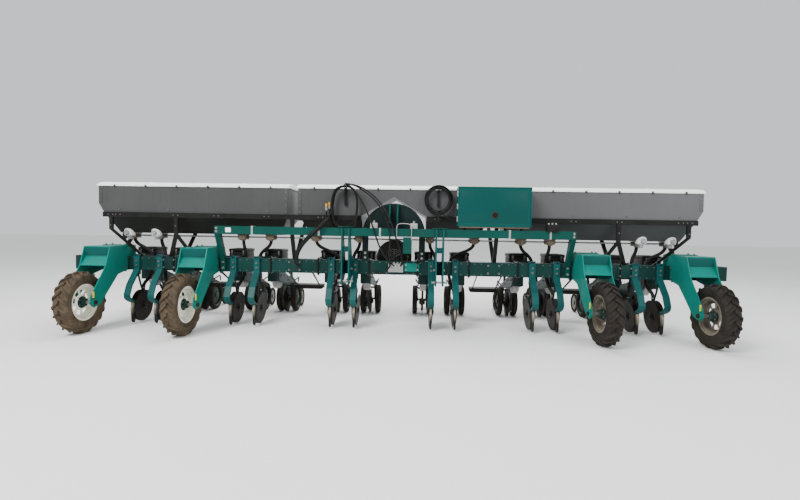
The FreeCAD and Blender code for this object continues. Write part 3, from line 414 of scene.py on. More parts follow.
def tank_sheet(name, clean):
    """Satin grey sheet: painted shade darkens the lower sheet below the rail, and a painted highlight
    brightens it towards the sunny +X end.
    """
    material = weathered(name, clean, tuple(c * 1.35 for c in clean), dirt=(0.022, 0.021, 0.019), gloss=0.42,
                         patch=1.2, fading=0.6, dirtiness=0.22, dust_top=0.2, dustiness=0.0, relief=0.05,
                         coarse=1.5)
    tree = material.node_tree
    shader = next(node for node in tree.nodes if node.type == "BSDF_PRINCIPLED")
    base = shader.inputs["Base Color"].links[0].from_socket
    where = next(node for node in tree.nodes if node.type == "TEX_COORD").outputs["Object"]
    part = node_of(tree, "ShaderNodeSeparateXYZ", {"Vector": where})
    # Painted shade: below the rail the sheet's colour is mixed towards a dark grey.
    funnel_shade_mask = node_of(tree, "ShaderNodeMapRange", {"Value": part.outputs["Z"], "From Min": 1.462,
                                                  "From Max": 1.455})
    # Painted highlight: a pale grey is added to the sheet, more and more towards +X where the light falls.
    sunny = node_of(tree, "ShaderNodeMapRange", {"Value": part.outputs["X"], "From Min": -1.5,
                                                 "From Max": 3.5})
    dark = mixed(tree, funnel_shade_mask.outputs["Result"], base, (0.02, 0.02, 0.0185, 1))
    half = node_of(tree, "ShaderNodeMath", {0: sunny.outputs["Result"], 1: 0.45}, operation="MULTIPLY")
    shine = node_of(tree, "ShaderNodeMix", {"Factor": half.outputs[0]}, data_type="RGBA", blend_type="ADD")
    tree.links.new(dark, shine.inputs[6])
    shine.inputs[7].default_value = (0.11, 0.115, 0.12, 1)
    tree.links.new(shine.outputs[2], shader.inputs["Base Color"])
    return material


def tyre_rubber(name, rubber, dusted, amount):
    """Weathered rubber with dry soil caught on the lugs and walls."""
    material = weathered(name, rubber, tuple(c * 1.5 for c in rubber), dirt=dusted, dust=dusted, gloss=0.72,
                         soiled_gloss=0.95, patch=7.0, fading=0.7, dirtiness=amount * 0.6, dust_top=1.5,
                         dustiness=amount, grain=90.0, relief=0.5, coarse=1.0)
    return material


def worn_disc(name):
    """Soil-polished steel with rings worn round the disc and brown rust between."""
    return weathered(name, (0.012, 0.0115, 0.011), (0.032, 0.028, 0.024), dirt=(0.03, 0.016, 0.009),
                     dust=(0.06, 0.045, 0.03), metallic=0.5, gloss=0.42, patch=14.0, fading=0.7,
                     dirtiness=0.6,
                     dust_top=0.3, dustiness=0.5, grain=60.0, relief=0.3)


def boot_metal(name):
    """Cast boot: pale with dried fertiliser at its mouth, dark and soil-worn towards its toe."""
    material = weathered(name, (0.33, 0.28, 0.22), (0.46, 0.41, 0.34), dirt=(0.09, 0.055, 0.03), metallic=0.2,
                         gloss=0.5, patch=12.0, dirtiness=0.7, dust_top=-1.0, dustiness=0.0, relief=0.4)
    tree = material.node_tree
    shader = next(node for node in tree.nodes if node.type == "BSDF_PRINCIPLED")
    base = shader.inputs["Base Color"].links[0].from_socket
    where = next(node for node in tree.nodes if node.type == "TEX_COORD").outputs["Object"]
    part = node_of(tree, "ShaderNodeSeparateXYZ", {"Vector": where})
    toe = node_of(tree, "ShaderNodeMapRange", {"Value": part.outputs["Z"], "From Min": 0.25,
                                               "From Max": 0.13})
    tree.links.new(mixed(tree, toe.outputs["Result"], base, (0.016, 0.014, 0.012, 1)),
                   shader.inputs["Base Color"])
    return material


def make_finishes(colours):
    make_weathering()
    make_relief()
    bright = tuple(colours.sunlit_frame_paint)
    dark = tuple(colours.shaded_frame_paint)
    soil = tuple(colours.soil)
    weathered("fork_paint", bright, tuple(c * 1.4 + 0.002 for c in bright), dust=soil, gloss=0.34, coat=0.05,
              patch=2.0, fading=0.6, dirtiness=0.3, dust_top=0.5, dustiness=0.3)
    # Painted shade: the beam's paint is the sunlit frame paint scaled to about a third, a shaded copy of it.
    weathered("beam_shade_paint", tuple(c * 0.32 for c in bright), tuple(c * 0.5 for c in bright), gloss=0.34,
              coat=0.05,
              patch=1.3, fading=0.6, dirtiness=0.35)
    # Painted shade: the toolbar takes the darkened, shaded copy of the frame paint.
    weathered("toolbar_shade_paint", dark, (0.005, 0.042, 0.037), dust=soil, gloss=0.45, patch=1.1, fading=0.9,
              dirtiness=0.45, dust_top=0.7, dustiness=0.1, relief=0.15)
    weathered("shank_paint", (0.001, 0.058, 0.056), (0.003, 0.095, 0.092), dust=soil, gloss=0.42, coat=0.05,
              patch=5.0,
              fading=0.6, dirtiness=0.4, dust_top=0.4, dustiness=0.12)
    weathered("clamp_paint", (0.005, 0.05, 0.058), (0.012, 0.085, 0.09), gloss=0.38, coat=0.05, patch=6.0,
              dirtiness=0.4)
    weathered("box_paint", (0.0, 0.06, 0.054), (0.0, 0.075, 0.067), gloss=0.36, coat=0.0, patch=2.5,
              fading=0.5,
              dirtiness=0.2)
    weathered("door_paint", (0.0, 0.05, 0.045), (0.0, 0.06, 0.054), gloss=0.36, coat=0.0, patch=2.0,
              fading=0.5, dirtiness=0.15)
    weathered("unit_finish", (0.004, 0.026, 0.024), (0.01, 0.05, 0.046), dust=soil, gloss=0.42, patch=5.0,
              dirtiness=0.5, dust_top=0.7, dustiness=0.35)
    weathered("arch_paint", (0.004, 0.012, 0.012), (0.01, 0.024, 0.023), gloss=0.45, patch=3.0, dirtiness=0.4)
    weathered("black_paint", (0.007, 0.007, 0.0068), (0.018, 0.0176, 0.0165), dust=soil, gloss=0.45,
              patch=5.0,
              dirtiness=0.3, dust_top=0.7, dustiness=0.25)
    weathered("zinc", (0.3, 0.3, 0.29), (0.45, 0.45, 0.43), dirt=(0.07, 0.045, 0.025), metallic=0.85,
              gloss=0.34,
              patch=20.0, dirtiness=0.45, dust_top=0.6, dustiness=0.3)
    weathered("bolt_steel", (0.12, 0.117, 0.11), (0.25, 0.245, 0.235), dirt=(0.05, 0.03, 0.018), metallic=0.7,
              gloss=0.4, patch=30.0, dirtiness=0.5)
    boot_metal("boot_casting")
    weathered("lid_plastic", tuple(colours.lid), (0.97, 0.965, 0.95), dirt=(0.7, 0.67, 0.6), gloss=0.4,
              patch=1.5,
              fading=0.5, dirtiness=0.1, relief=0.04, coarse=3.0)
    weathered("meter_finish", (0.16, 0.125, 0.09), (0.24, 0.2, 0.15), dirt=(0.05, 0.038, 0.026), gloss=0.5,
              patch=12.0, dirtiness=0.5)
    weathered("cast_aluminium", (0.33, 0.33, 0.325), (0.5, 0.5, 0.49), dirt=(0.1, 0.095, 0.09), metallic=0.5,
              gloss=0.42, patch=15.0, dirtiness=0.5, relief=0.35)
    weathered("hose_finish", (0.007, 0.007, 0.0068), (0.02, 0.0195, 0.0185), gloss=0.5, patch=9.0, fading=0.6,
              dirtiness=0.3, dust_top=1.0, dustiness=0.1)
    weathered("duct_rubber", (0.012, 0.012, 0.0118), (0.035, 0.034, 0.032), dust=soil, gloss=0.6, patch=8.0,
              dirtiness=0.3, dust_top=0.8, dustiness=0.2)
    weathered("moulded_black", (0.007, 0.007, 0.007), (0.018, 0.018, 0.0175), dust=soil, gloss=0.5, patch=6.0,
              dirtiness=0.3, dust_top=0.7, dustiness=0.25, grain=400.0, relief=0.2)
    weathered("coupling_cap", (0.45, 0.24, 0.02), (0.5, 0.31, 0.06), gloss=0.4, patch=25.0, dirtiness=0.35)
    weathered("warm_mark", (0.75, 0.6, 0.01), (0.6, 0.5, 0.03), gloss=0.4, patch=30.0, dirtiness=0.15)
    weathered("latch_red", (0.16, 0.012, 0.01), (0.1, 0.015, 0.012), gloss=0.35, patch=30.0, dirtiness=0.3)
    weathered("rim_pale", (0.93, 0.9, 0.76), (0.97, 0.95, 0.85), dirt=(0.2, 0.14, 0.08),
              dust=(0.33, 0.25, 0.16),
              gloss=0.42, patch=9.0, dirtiness=0.55, dust_top=0.9, dustiness=0.35)
    weathered("rim_soiled", (0.17, 0.15, 0.12), (0.28, 0.25, 0.2), dirt=(0.06, 0.045, 0.03), dust=soil,
              gloss=0.55,
              patch=9.0, dirtiness=0.7, dust_top=0.9, dustiness=0.4)
    tyre_rubber("tyre_dusty", (0.03, 0.024, 0.018), (0.125, 0.09, 0.056), 0.9)
    tyre_rubber("tyre_dark", (0.012, 0.0115, 0.011), (0.055, 0.044, 0.033), 0.5)
    tyre_rubber("wheel_rubber", (0.01, 0.0096, 0.009), (0.05, 0.04, 0.03), 0.5)
    worn_disc("worn_disc")
    tank_sheet("tank_sheet", tuple(colours.tank))
    weathered("pale_floor", (0.86, 0.86, 0.85), (0.9, 0.9, 0.89), dirt=(0.8, 0.79, 0.77), gloss=0.85,
              patch=0.4,
              dirtiness=0.08, dust_top=-1.0, dustiness=0.0, grain=30.0, relief=0.1)


NODE_FINISHES = {
    "toolbar": "toolbar_shade_paint", "front_hitch_beam": "beam_shade_paint", "hitch_beam_legs": "beam_shade_paint",
    "lower_link_plates": "shank_paint", "lower_link_pins": "zinc", "headstock_arch": "arch_paint",
    "top_link_bracket": "beam_shade_paint", "wheel_yokes": "fork_paint", "wheel_axles": "zinc",
    "hopper_tank_left": "tank_sheet", "hopper_tank_centre": "tank_sheet", "hopper_tank_right": "tank_sheet",
    "hopper_lid_left": "lid_plastic", "hopper_lid_centre": "lid_plastic", "hopper_lid_right": "lid_plastic",
    "lid_hinges": "zinc", "hopper_rails": "black_paint", "hopper_stands": "black_paint",
    "fertiliser_meters": "meter_finish", "meter_drive_shaft": "zinc", "opener_shanks": "shank_paint",
    "opener_clamps": "clamp_paint", "opener_discs": "worn_disc", "opener_hubs": "unit_finish",
    "opener_boots": "boot_casting", "row_unit_brackets": "unit_finish", "row_unit_pins": "zinc",
    "control_box": "box_paint", "control_box_door": "box_paint", "control_knob": "moulded_black",
    "fan_housing": "black_paint", "hydraulic_manifold": "cast_aluminium", "step_boards": "black_paint",
    "hose_hooks": "black_paint",
}


# --- pieces --------------------------------------------------------------------------------------------
class PLANTER_OT_stage(bpy.types.Operator):
    """Lays the floor and sets the lights and the camera"""
    bl_idname = "planter.stage"
    bl_label = "Stage"

    def execute(self, context):
        ground = Shape()
        ground.keep(bmesh.ops.create_grid(ground.mesh, x_segments=4, y_segments=4, size=60.0)["verts"], 0)
        data = ground.to_mesh("floor")
        data.transform(Matrix.Translation((0, 0, -0.002)))
        data.materials.append(bpy.data.materials["pale_floor"])
        floor = bpy.data.objects.new("floor", data)
        context.scene.collection.objects.link(floor)
        world = bpy.data.worlds.new("sky")
        world.use_nodes = True
        world.node_tree.nodes["Background"].inputs[0].default_value = (0.96, 0.98, 1.0, 1)
        world.node_tree.nodes["Background"].inputs[1].default_value = 0.9
        context.scene.world = world
        for name, place, aim, size, power in (
                ("key", (-5.0, -8.5, 8.5), (0, 0, 0.6), 5.0, 1500),
                ("fill", (7.0, -7.0, 5.0), (1, 0, 0.8), 6.0, 300),
                ("top", (1.0, 2.5, 9.0), (0, 0, 0.8), 8.0, 620),
                ("rear", (0.0, 9.0, 5.0), (0, 0, 0.8), 7.0, 380)):
            lamp = bpy.data.lights.new(name, "AREA")
            lamp.shape = "DISK"
            lamp.size = size
            lamp.energy = power
            holder = bpy.data.objects.new(name, lamp)
            holder.location = place
            holder.rotation_euler = (Vector(aim) - Vector(place)).to_track_quat("-Z", "Y").to_euler()
            context.scene.collection.objects.link(holder)
        yaw, pitch, roll = -0.0354, 0.0399, 0.0166
        ahead = Vector((math.sin(yaw) * math.cos(pitch), math.cos(yaw) * math.cos(pitch), -math.sin(pitch)))
        across = Vector((math.cos(yaw), -math.sin(yaw), 0.0))
        above = across.cross(ahead)
        right = math.cos(roll) * across + math.sin(roll) * above
        top = -math.sin(roll) * across + math.cos(roll) * above
        lens = bpy.data.cameras.new("camera")
        lens.lens = 20.66
        lens.sensor_width = 36.0
        lens.sensor_fit = "HORIZONTAL"
        lens.clip_end = 200.0
        camera = bpy.data.objects.new("camera", lens)
        turn = Matrix((right, top, -ahead)).transposed().to_4x4()
        camera.matrix_world = Matrix.Translation((0.2968, -6.37, 1.2733)) @ turn
        context.scene.collection.objects.link(camera)
        context.scene.camera = camera
        return {"FINISHED"}


class PLANTER_OT_finishes(bpy.types.Operator):
    """Makes the finishes and gives the frame's nodes theirs"""
    bl_idname = "planter.finishes"
    bl_label = "Finishes"

    def execute(self, context):
        make_finishes(context.scene.planter_colours)
        for name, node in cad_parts.items():
            finish = bpy.data.materials[NODE_FINISHES.get(name, "hose_finish")]
            node.data.materials.clear()
            node.data.materials.append(finish)
        return {"FINISHED"}


class PLANTER_OT_tyres(bpy.types.Operator):
    """Tread tyres with slanting lugs on both sides"""
    bl_idname = "planter.tyres"
    bl_label = "Tyres"

    def execute(self, context):
        sizes = context.scene.planter_sizes
        half, top = 0.09, 0.3675
        crown = top - sizes.lug_height
        lug = self.lug_mesh(half, top, crown)
        for name, x in WHEELS.items():
            tyre = Shape()
            section = [(-0.062, 0.205), (-0.066, 0.226), (-0.084, 0.262), (-half, 0.295), (-0.088, 0.318),
                       (-0.07, crown - 0.008), (-0.035, crown - 0.002), (0.0, crown), (0.035, crown - 0.002),
                       (0.07, crown - 0.008), (0.088, 0.318), (half, 0.295), (0.084, 0.262), (0.066, 0.226),
                       (0.062, 0.205), (0.05, 0.206), (0.068, 0.262), (0.072, 0.295), (0.05, 0.325),
                       (-0.05, 0.325), (-0.072, 0.295), (-0.068, 0.262), (-0.05, 0.206)]
            tyre.turned(section, (0, 0, 0), Matrix(), 64, 0)
            step = math.tau / sizes.lug_pairs
            for number in range(sizes.lug_pairs):
                for side in (0, 1):
                    turn = Matrix.Rotation(number * step + side * step / 2, 4, "Z")
                    flip = Matrix.Scale(-1, 4, (0, 0, 1)) if side else Matrix()
                    tyre.join(lug, 0, turn @ flip)
            for side in (-1, 1):
                tyre.turned([(side * 0.086, 0.258), (side * 0.0885, 0.262), (side * 0.0885, 0.266),
                             (side * 0.086, 0.27)], (0, 0, 0), Matrix(), 64, 0)
            bmesh.ops.recalc_face_normals(tyre.mesh, faces=tyre.mesh.faces)
            bmesh.ops.transform(tyre.mesh, verts=tyre.mesh.verts,
                                matrix=Matrix.Translation(at(x, AXLE_Y, AXLE_Z)) @ FACING_SIDE)
            rubber = "tyre_dusty" if x < 0 else "tyre_dark"
            finished(tyre, f"treaded_tyre_{name}", f"ground_wheel_{name}", [rubber], 38,
                     [f"tyre_{name}"])
        bpy.data.meshes.remove(lug)
        return {"FINISHED"}

    @staticmethod
    def lug_mesh(half, top, crown):
        """One lug, about the tyre's Z axis: it starts just past the middle and sweeps over the shoulder."""
        lug = bmesh.new()
        verts = bmesh.ops.create_cube(lug, size=1.0)["verts"]
        long_edges = [edge for edge in lug.edges if abs((edge.verts[0].co - edge.verts[1].co).z) > 0.5]
        bmesh.ops.subdivide_edges(lug, edges=long_edges, cuts=5, use_grid_fill=True)
        for vert in lug.verts:
            along = vert.co.z + 0.5
            across = -0.008 + along * (half + 0.012)
            spread = 0.034 - 0.008 * (1 if vert.co.x > 0 else 0)
            drop = max(0.0, along - 0.62) ** 2 * 0.2
            face = top - 0.012 * along ** 3 - drop
            root = crown - 0.012 - 0.4 * drop - 0.02 * max(0.0, along - 0.8)
            radius = face if vert.co.x > 0 else root
            angle = along * 0.27 + vert.co.y * spread / radius
            vert.co = Vector((radius * math.cos(angle), radius * math.sin(angle), min(across, half + 0.001)))
        bmesh.ops.bevel(lug, geom=[edge for edge in lug.edges if edge.calc_face_angle(0.0) > 0.9],
                        offset=0.003,
                        affect="EDGES", segments=1, profile=0.5, material=-1)
        data = bpy.data.meshes.new("lug")
        lug.to_mesh(data)
        lug.free()
        return data


class PLANTER_OT_rims(bpy.types.Operator):
    """Pressed rims with hand holes, wheel nuts and hubs"""
    bl_idname = "planter.rims"
    bl_label = "Rims"

    def execute(self, context):
        for name, x in WHEELS.items():
            rim = Shape()
            rim.turned([(-0.065, 0.224), (-0.06, 0.226), (-0.058, 0.206), (-0.045, 0.203), (-0.034, 0.186),
                        (0.034, 0.186), (0.045, 0.203), (0.058, 0.206), (0.06, 0.226), (0.065, 0.224),
                        (0.063, 0.2), (0.05, 0.197), (0.038, 0.181), (-0.038, 0.181), (-0.05, 0.197),
                        (-0.063, 0.2)], (0, 0, 0), Matrix(), 64, 0)
            self.dish(rim)
            for side in (-1, 1):
                rim.turned([(side * 0.018, 0.0205), (side * 0.075, 0.0205), (side * 0.075, 0.038),
                            (side * 0.068, 0.045), (side * 0.03, 0.047), (side * 0.026, 0.07),
                            (side * 0.018, 0.072)], (0, 0, 0), Matrix(), 40, 1)
                for number in range(6):
                    turn = Matrix.Rotation(number * math.tau / 6, 4, "Z")
                    head = turn @ Vector((0.059, 0, side * 0.028))
                    rim.bolt(head, 0.016, Matrix.Rotation(math.pi, 4, "X") if side < 0 else Matrix(), 2)
            bmesh.ops.transform(rim.mesh, verts=rim.mesh.verts,
                                matrix=Matrix.Translation(at(x, AXLE_Y, AXLE_Z)) @ FACING_SIDE)
            paint = "rim_pale" if x < 0 else "rim_soiled"
            finished(rim, f"pressed_rim_{name}", f"ground_wheel_{name}",
                     [paint, "unit_finish", "bolt_steel"], 34, [f"rim_{name}"])
        return {"FINISHED"}

    @staticmethod
    def dish(rim):
        """The pressed centre: a shallow bowl with eight hand holes, given a wall of its own."""
        bowl = bmesh.new()
        verts = [bowl.verts.new((radius, 0.0, along)) for along, radius in
                 ((0.014, 0.046), (0.014, 0.078), (0.002, 0.094), (-0.006, 0.118), (-0.002, 0.15),
                  (0.012, 0.168),
                  (0.016, 0.185))]
        edges = [bowl.edges.new(pair) for pair in zip(verts, verts[1:])]
        bmesh.ops.spin(bowl, geom=verts + edges, cent=(0, 0, 0), axis=(0, 0, 1), dvec=(0, 0, 0),
                       angle=math.tau,
                       steps=48, use_merge=True, use_duplicate=False)
        bmesh.ops.recalc_face_normals(bowl, faces=bowl.faces)
        holes = []
        for face in bowl.faces:
            centre = face.calc_center_median()
            radius = math.hypot(centre.x, centre.y)
            turn = (math.degrees(math.atan2(centre.y, centre.x)) % 45) / 45
            if 0.1 < radius < 0.158 and turn > 0.36:
                holes.append(face)
        bmesh.ops.delete(bowl, geom=holes, context="FACES")
        bmesh.ops.solidify(bowl, geom=bowl.faces, thickness=0.006)
        bmesh.ops.recalc_face_normals(bowl, faces=bowl.faces)
        data = bpy.data.meshes.new("bowl")
        bowl.to_mesh(data)
        bowl.free()
        rim.join(data, 0)
        bpy.data.meshes.remove(data)


class PLANTER_OT_fork_details(bpy.types.Operator):
    """Face plates painted darker as shade on the hood fronts, bolts, axle stubs and bearing marks of the wheel
    forks
    """
    bl_idname = "planter.fork_details"
    bl_label = "Fork details"

    def execute(self, context):
        trim = Shape()
        for x in WHEELS.values():
            # Painted shade: a thin plate in the darker control-box paint across each fork's front stands in
            # for the shade on the hood front.
            trim.block(at(x - FORK_HALF, -0.357, 0.912), at(x + FORK_HALF, -0.351, 1.018), 0.004, 0)
            trim.block(at(x - 0.156, -0.359, 1.016), at(x + 0.156, -0.345, 1.026), 0.003, 3)
            for side in (-1, 1):
                face = x + side * FORK_CHEEK
                turn = Matrix.Rotation(math.radians(90 * side), 4, "Y")
                for y, z in ((-0.05, 0.75), (-0.012, 0.87), (0.04, 0.87), (0.13, 0.96)):
                    trim.bolt(at(face, y, z), 0.02, turn, 1)
                trim.drum(at(x + side * 0.176, AXLE_Y, AXLE_Z), 0.046, 0.012, FACING_SIDE, 3, 32, 0.003)
                trim.drum(at(x + side * 0.192, AXLE_Y, AXLE_Z), 0.024, 0.02, FACING_SIDE, 4, 24, 0.003)
                trim.bolt(at(x + side * 0.184, AXLE_Y, AXLE_Z + 0.036), 0.01, turn, 1)
                trim.bolt(at(x + side * 0.184, AXLE_Y, AXLE_Z - 0.036), 0.01, turn, 1)
                lug_low, lug_high = sorted((x + side * 0.172, x + side * 0.18))
                trim.block(at(lug_low, AXLE_Y - 0.03, AXLE_Z + 0.056),
                           at(lug_high, AXLE_Y - 0.006, AXLE_Z + 0.13),
                           0.002, 2)
            trim.block(at(x - 0.16, -0.02, 1.031), at(x + 0.16, 0.17, 1.04), 0.003, 3)
            for step in (-0.13, 0.13):
                for y in (0.01, 0.14):
                    trim.bolt(at(x + step, y, 1.04), 0.022, Matrix(), 1)
        finished(trim, "fork_trim", "frame",
                 ["box_paint", "bolt_steel", "warm_mark", "fork_paint", "black_paint"])
        return {"FINISHED"}


class PLANTER_OT_toolbar_details(bpy.types.Operator):
    """Bolt rows, joint plates and clamping rods along the toolbar"""
    bl_idname = "planter.toolbar_details"
    bl_label = "Toolbar details"

    def execute(self, context):
        pitch = context.scene.planter_sizes.bolt_pitch
        pattern = Shape()
        pattern.bolt((0, 0, 0), 0.012, FACING_FRONT, 0)
        bolt = pattern.to_mesh("bolt head")
        trim = Shape()
        for x in [number * pitch for number in range(-47, 48)]:
            near_fork = any(abs(x - wheel) < 0.2 for wheel in WHEELS.values())
            near_opener = any(abs(x - place) < 0.06 for place in OPENERS)
            near_link = abs(abs(x) - LOWER_LINK) < 0.075 or -0.08 < x < 0.15
            if near_fork or near_opener or near_link:
                continue
            for z in (0.868, 0.73):
                trim.join(bolt, 1, Matrix.Translation(at(x, -0.001, z)))
        bpy.data.meshes.remove(bolt)
        for x in (-2.98, -1.3, 1.3, 2.98):
            trim.block(at(x - 0.1, -0.009, 0.725), at(x + 0.1, -0.001, 0.875), 0.003, 0)
            for dx in (-0.07, 0.07):
                for z in (0.75, 0.85):
                    trim.bolt(at(x + dx, -0.01, z), 0.024, FACING_FRONT, 1)
        for x in SEED_ROWS:
            for dx in (-0.085, 0.085):
                trim.block(at(x + dx - 0.022, 0.0, 0.892), at(x + dx + 0.022, 0.19, 0.9), 0.002, 1)
                trim.block(at(x + dx - 0.022, 0.0, 0.7), at(x + dx + 0.022, 0.19, 0.708), 0.002, 1)
                trim.bolt(at(x + dx, 0.155, 0.904), 0.022, Matrix(), 1)
                trim.tube([at(x + dx, 0.03, 0.69), at(x + dx, -0.012, 0.69), at(x + dx, -0.014, 0.71),
                           at(x + dx, -0.014, 0.89), at(x + dx, -0.012, 0.91), at(x + dx, 0.03, 0.91)],
                          0.009, 2, 10)
        for side in (-1, 1):
            trim.block(at(side * 4.256 - 0.004, 0.05, 0.76), at(side * 4.256 + 0.004, 0.13, 0.84), 0.003, 0)
        finished(trim, "toolbar_trim", "frame",
                 ["toolbar_shade_paint", "bolt_steel", "black_paint"])
        return {"FINISHED"}


class PLANTER_OT_hitch_details(bpy.types.Operator):
    """Clips, hose guides, bolts and brackets of the front hitch"""
    bl_idname = "planter.hitch_details"
    bl_label = "Hitch details"

    def execute(self, context):
        trim = Shape()
        for x in (-HITCH_LEG, HITCH_LEG):
            for z in (0.76, 0.84, 1.24, 1.28):
                y = -0.252 if z > 1 else -0.052
                trim.bolt(at(x, y, z), 0.026, FACING_FRONT, 1)
        for x in (-1.78, -0.93, -0.16, 1.45, 1.95):
            trim.block(at(x - 0.012, -0.256, 1.206), at(x + 0.012, -0.146, 1.316), 0.003, 2)
        trim.block(at(-2.12, -0.254, 1.232), at(-2.05, -0.2505, 1.288), 0.001, 3)
        trim.block(at(1.9, -0.285, 1.3), at(2.04, -0.19, 1.39), 0.006, 4)
        trim.block(at(1.92, -0.288, 1.315), at(2.02, -0.284, 1.375), 0.002, 4)
        for x in (1.925, 1.97, 2.015):
            trim.drum(at(x, -0.24, 1.398), 0.011, 0.024, Matrix(), 2, 16)
        for x in (-0.24, 0.262):
            trim.block(at(x - 0.045, -0.235, 1.318), at(x + 0.045, -0.165, 1.38), 0.006, 2)
            trim.drum(at(x, -0.2, 1.392), 0.016, 0.03, Matrix(), 1, 20)
            trim.block(at(x - 0.05, -0.24, 1.31), at(x + 0.05, -0.16, 1.319), 0.002, 1)
        trim.tube([at(0.05, -0.262, 1.2), at(0.05, -0.27, 1.3), at(0.05, -0.27, 1.345),
                   at(0.075, -0.27, 1.375),
                   at(0.2, -0.27, 1.375), at(0.235, -0.27, 1.345), at(0.235, -0.27, 1.25),
                   at(0.235, -0.262, 1.17)],
                  0.005, 2, 12)
        trim.block(at(0.13, -0.262, 1.0), at(0.24, -0.253, 1.205), 0.003, 0)
        for x in (-LOWER_LINK, LOWER_LINK):
            for side in (-1, 1):
                trim.bolt(at(x + side * 0.055, -0.13, 0.79), 0.03,
                          Matrix.Rotation(math.radians(90 * side), 4, "Y"), 1)
                trim.drum(at(x + side * 0.092, -0.245, 0.645), 0.022, 0.008, FACING_SIDE, 1, 24)
                trim.bolt(at(x + side * 0.055, -0.2, 1.26), 0.024,
                          Matrix.Rotation(math.radians(90 * side), 4, "Y"), 1)
            trim.tube([at(x + 0.088, -0.245, 0.665), at(x + 0.088, -0.252, 0.7), at(x + 0.088, -0.23, 0.715),
                       at(x + 0.088, -0.222, 0.69), at(x + 0.088, -0.24, 0.67)], 0.004, 1, 8)
            trim.block(at(x - 0.095, -0.268, 1.318), at(x + 0.095, -0.14, 1.326), 0.003, 0)
        for x in (-0.37, 0.37):
            for z in (0.93, 0.99, 1.26, 1.3):
                trim.bolt(at(x, -0.002, z), 0.026, FACING_FRONT, 1)
        finished(trim, "hitch_trim", "frame",
                 ["beam_shade_paint", "zinc", "cast_aluminium", "lid_plastic",
                                                          "black_paint"])
        return {"FINISHED"}


class PLANTER_OT_tank_details(bpy.types.Operator):
    """End strips and screws of the fertiliser tanks, and the bolts of their rail"""
    bl_idname = "planter.tank_details"
    bl_label = "Tank details"

    def execute(self, context):
        trim = Shape()
        face = TANK_FACE
        for _, low, high in TANKS:
            for x in (low, high):
                inward = 1 if x == low else -1
                edges = sorted((x + inward * 0.004, x + inward * 0.05))
                chamfered = abs(x) > 3.9
                bottom = 1.59 if chamfered else 1.478
                trim.block(at(edges[0], face - 0.005, bottom), at(edges[1], face + 0.002, 1.805), 0.002, 0)
                trim.block(at(edges[0], 0.665, bottom), at(edges[1], 0.671, 1.8), 0.002, 0)
                for step in range(4):
                    z = bottom + 0.03 + step * (1.78 - bottom) / 3.6
                    trim.bolt(at(sum(edges) / 2, face - 0.006, z), 0.013, FACING_FRONT, 1)
        for x in (-3.632, -2.974, -2.32, -1.658, 1.62, 2.285, 2.961, 3.62, -0.95, 0.56):
            trim.bolt(at(x, face - 0.002, 1.512), 0.015, FACING_FRONT, 1)
        for x in (-3.73, -3.632, -2.86, -2.32, -1.658, -0.95, 0.56, 1.62, 2.285, 2.86, 3.62, 3.73):
            for step in (-0.03, 0.03):
                trim.bolt(at(x + step, RAIL_FACE, 1.44), 0.014, FACING_FRONT, 1)
        for side in (-1, 1):
            for x, z in ((3.73, 1.3), (2.86, 1.3), (1.32, 1.3)):
                trim.bolt(at(side * x, RAIL_FACE, z), 0.016, FACING_FRONT, 1)
            low, high = sorted((side * 0.42, side * 3.84))
            trim.block(at(low, -0.0615, 1.462), at(high, -0.034, 1.472), 0.002, 2)
            trim.block(at(low, -0.0615, 1.408), at(high, -0.034, 1.416), 0.002, 2)
            for y in (0.1, 0.316, 0.53):
                trim.block(at(side * 3.915 - 0.004, y - 0.02, 1.6), at(side * 3.915 + 0.004, y + 0.02, 1.8),
                           0.002, 0)
            trim.tube([at(side * 3.914, 0.2, 1.66), at(side * 3.95, 0.2, 1.66), at(side * 3.95, 0.43, 1.66),
                       at(side * 3.914, 0.43, 1.66)], 0.008, 2, 12)
        finished(trim, "tank_trim", "frame", ["tank_sheet", "bolt_steel", "black_paint"])
        for name, low, high in TANKS:
            self.lid_latches(context, name, low, high)
        return {"FINISHED"}

    @staticmethod
    def lid_latches(context, name, low, high):
        """Rubber latches along the lid's lip, ribs pressed across its crest and strips at its ends."""
        pitch = context.scene.planter_sizes.latch_pitch
        trim = Shape()
        count = int((high - low - 0.2) / pitch)
        first = (low + high) / 2 - pitch * count / 2
        for number in range(count + 1):
            x = first + number * pitch
            trim.block(at(x - 0.012, -0.056, 1.806), at(x + 0.012, -0.045, 1.834), 0.003, 0)
            trim.drum(at(x, -0.057, 1.818), 0.008, 0.01, FACING_FRONT, 1, 14)
            trim.block(at(x - 0.014, 0.676, 1.808), at(x + 0.014, 0.682, 1.832), 0.003, 0)
        for number in range(1, 4):
            x = low + (high - low) * number / 4
            trim.block(at(x - 0.018, 0.1, 1.8775), at(x + 0.018, 0.53, 1.8835), 0.003, 2)
        for x in (low - 0.008, high + 0.008):
            trim.block(at(x - 0.006, -0.02, 1.816), at(x + 0.006, 0.65, 1.83), 0.003, 2)
        finished(trim, f"lid_latches_{name}", f"lid_{name}",
                 ["moulded_black", "bolt_steel", "lid_plastic"])


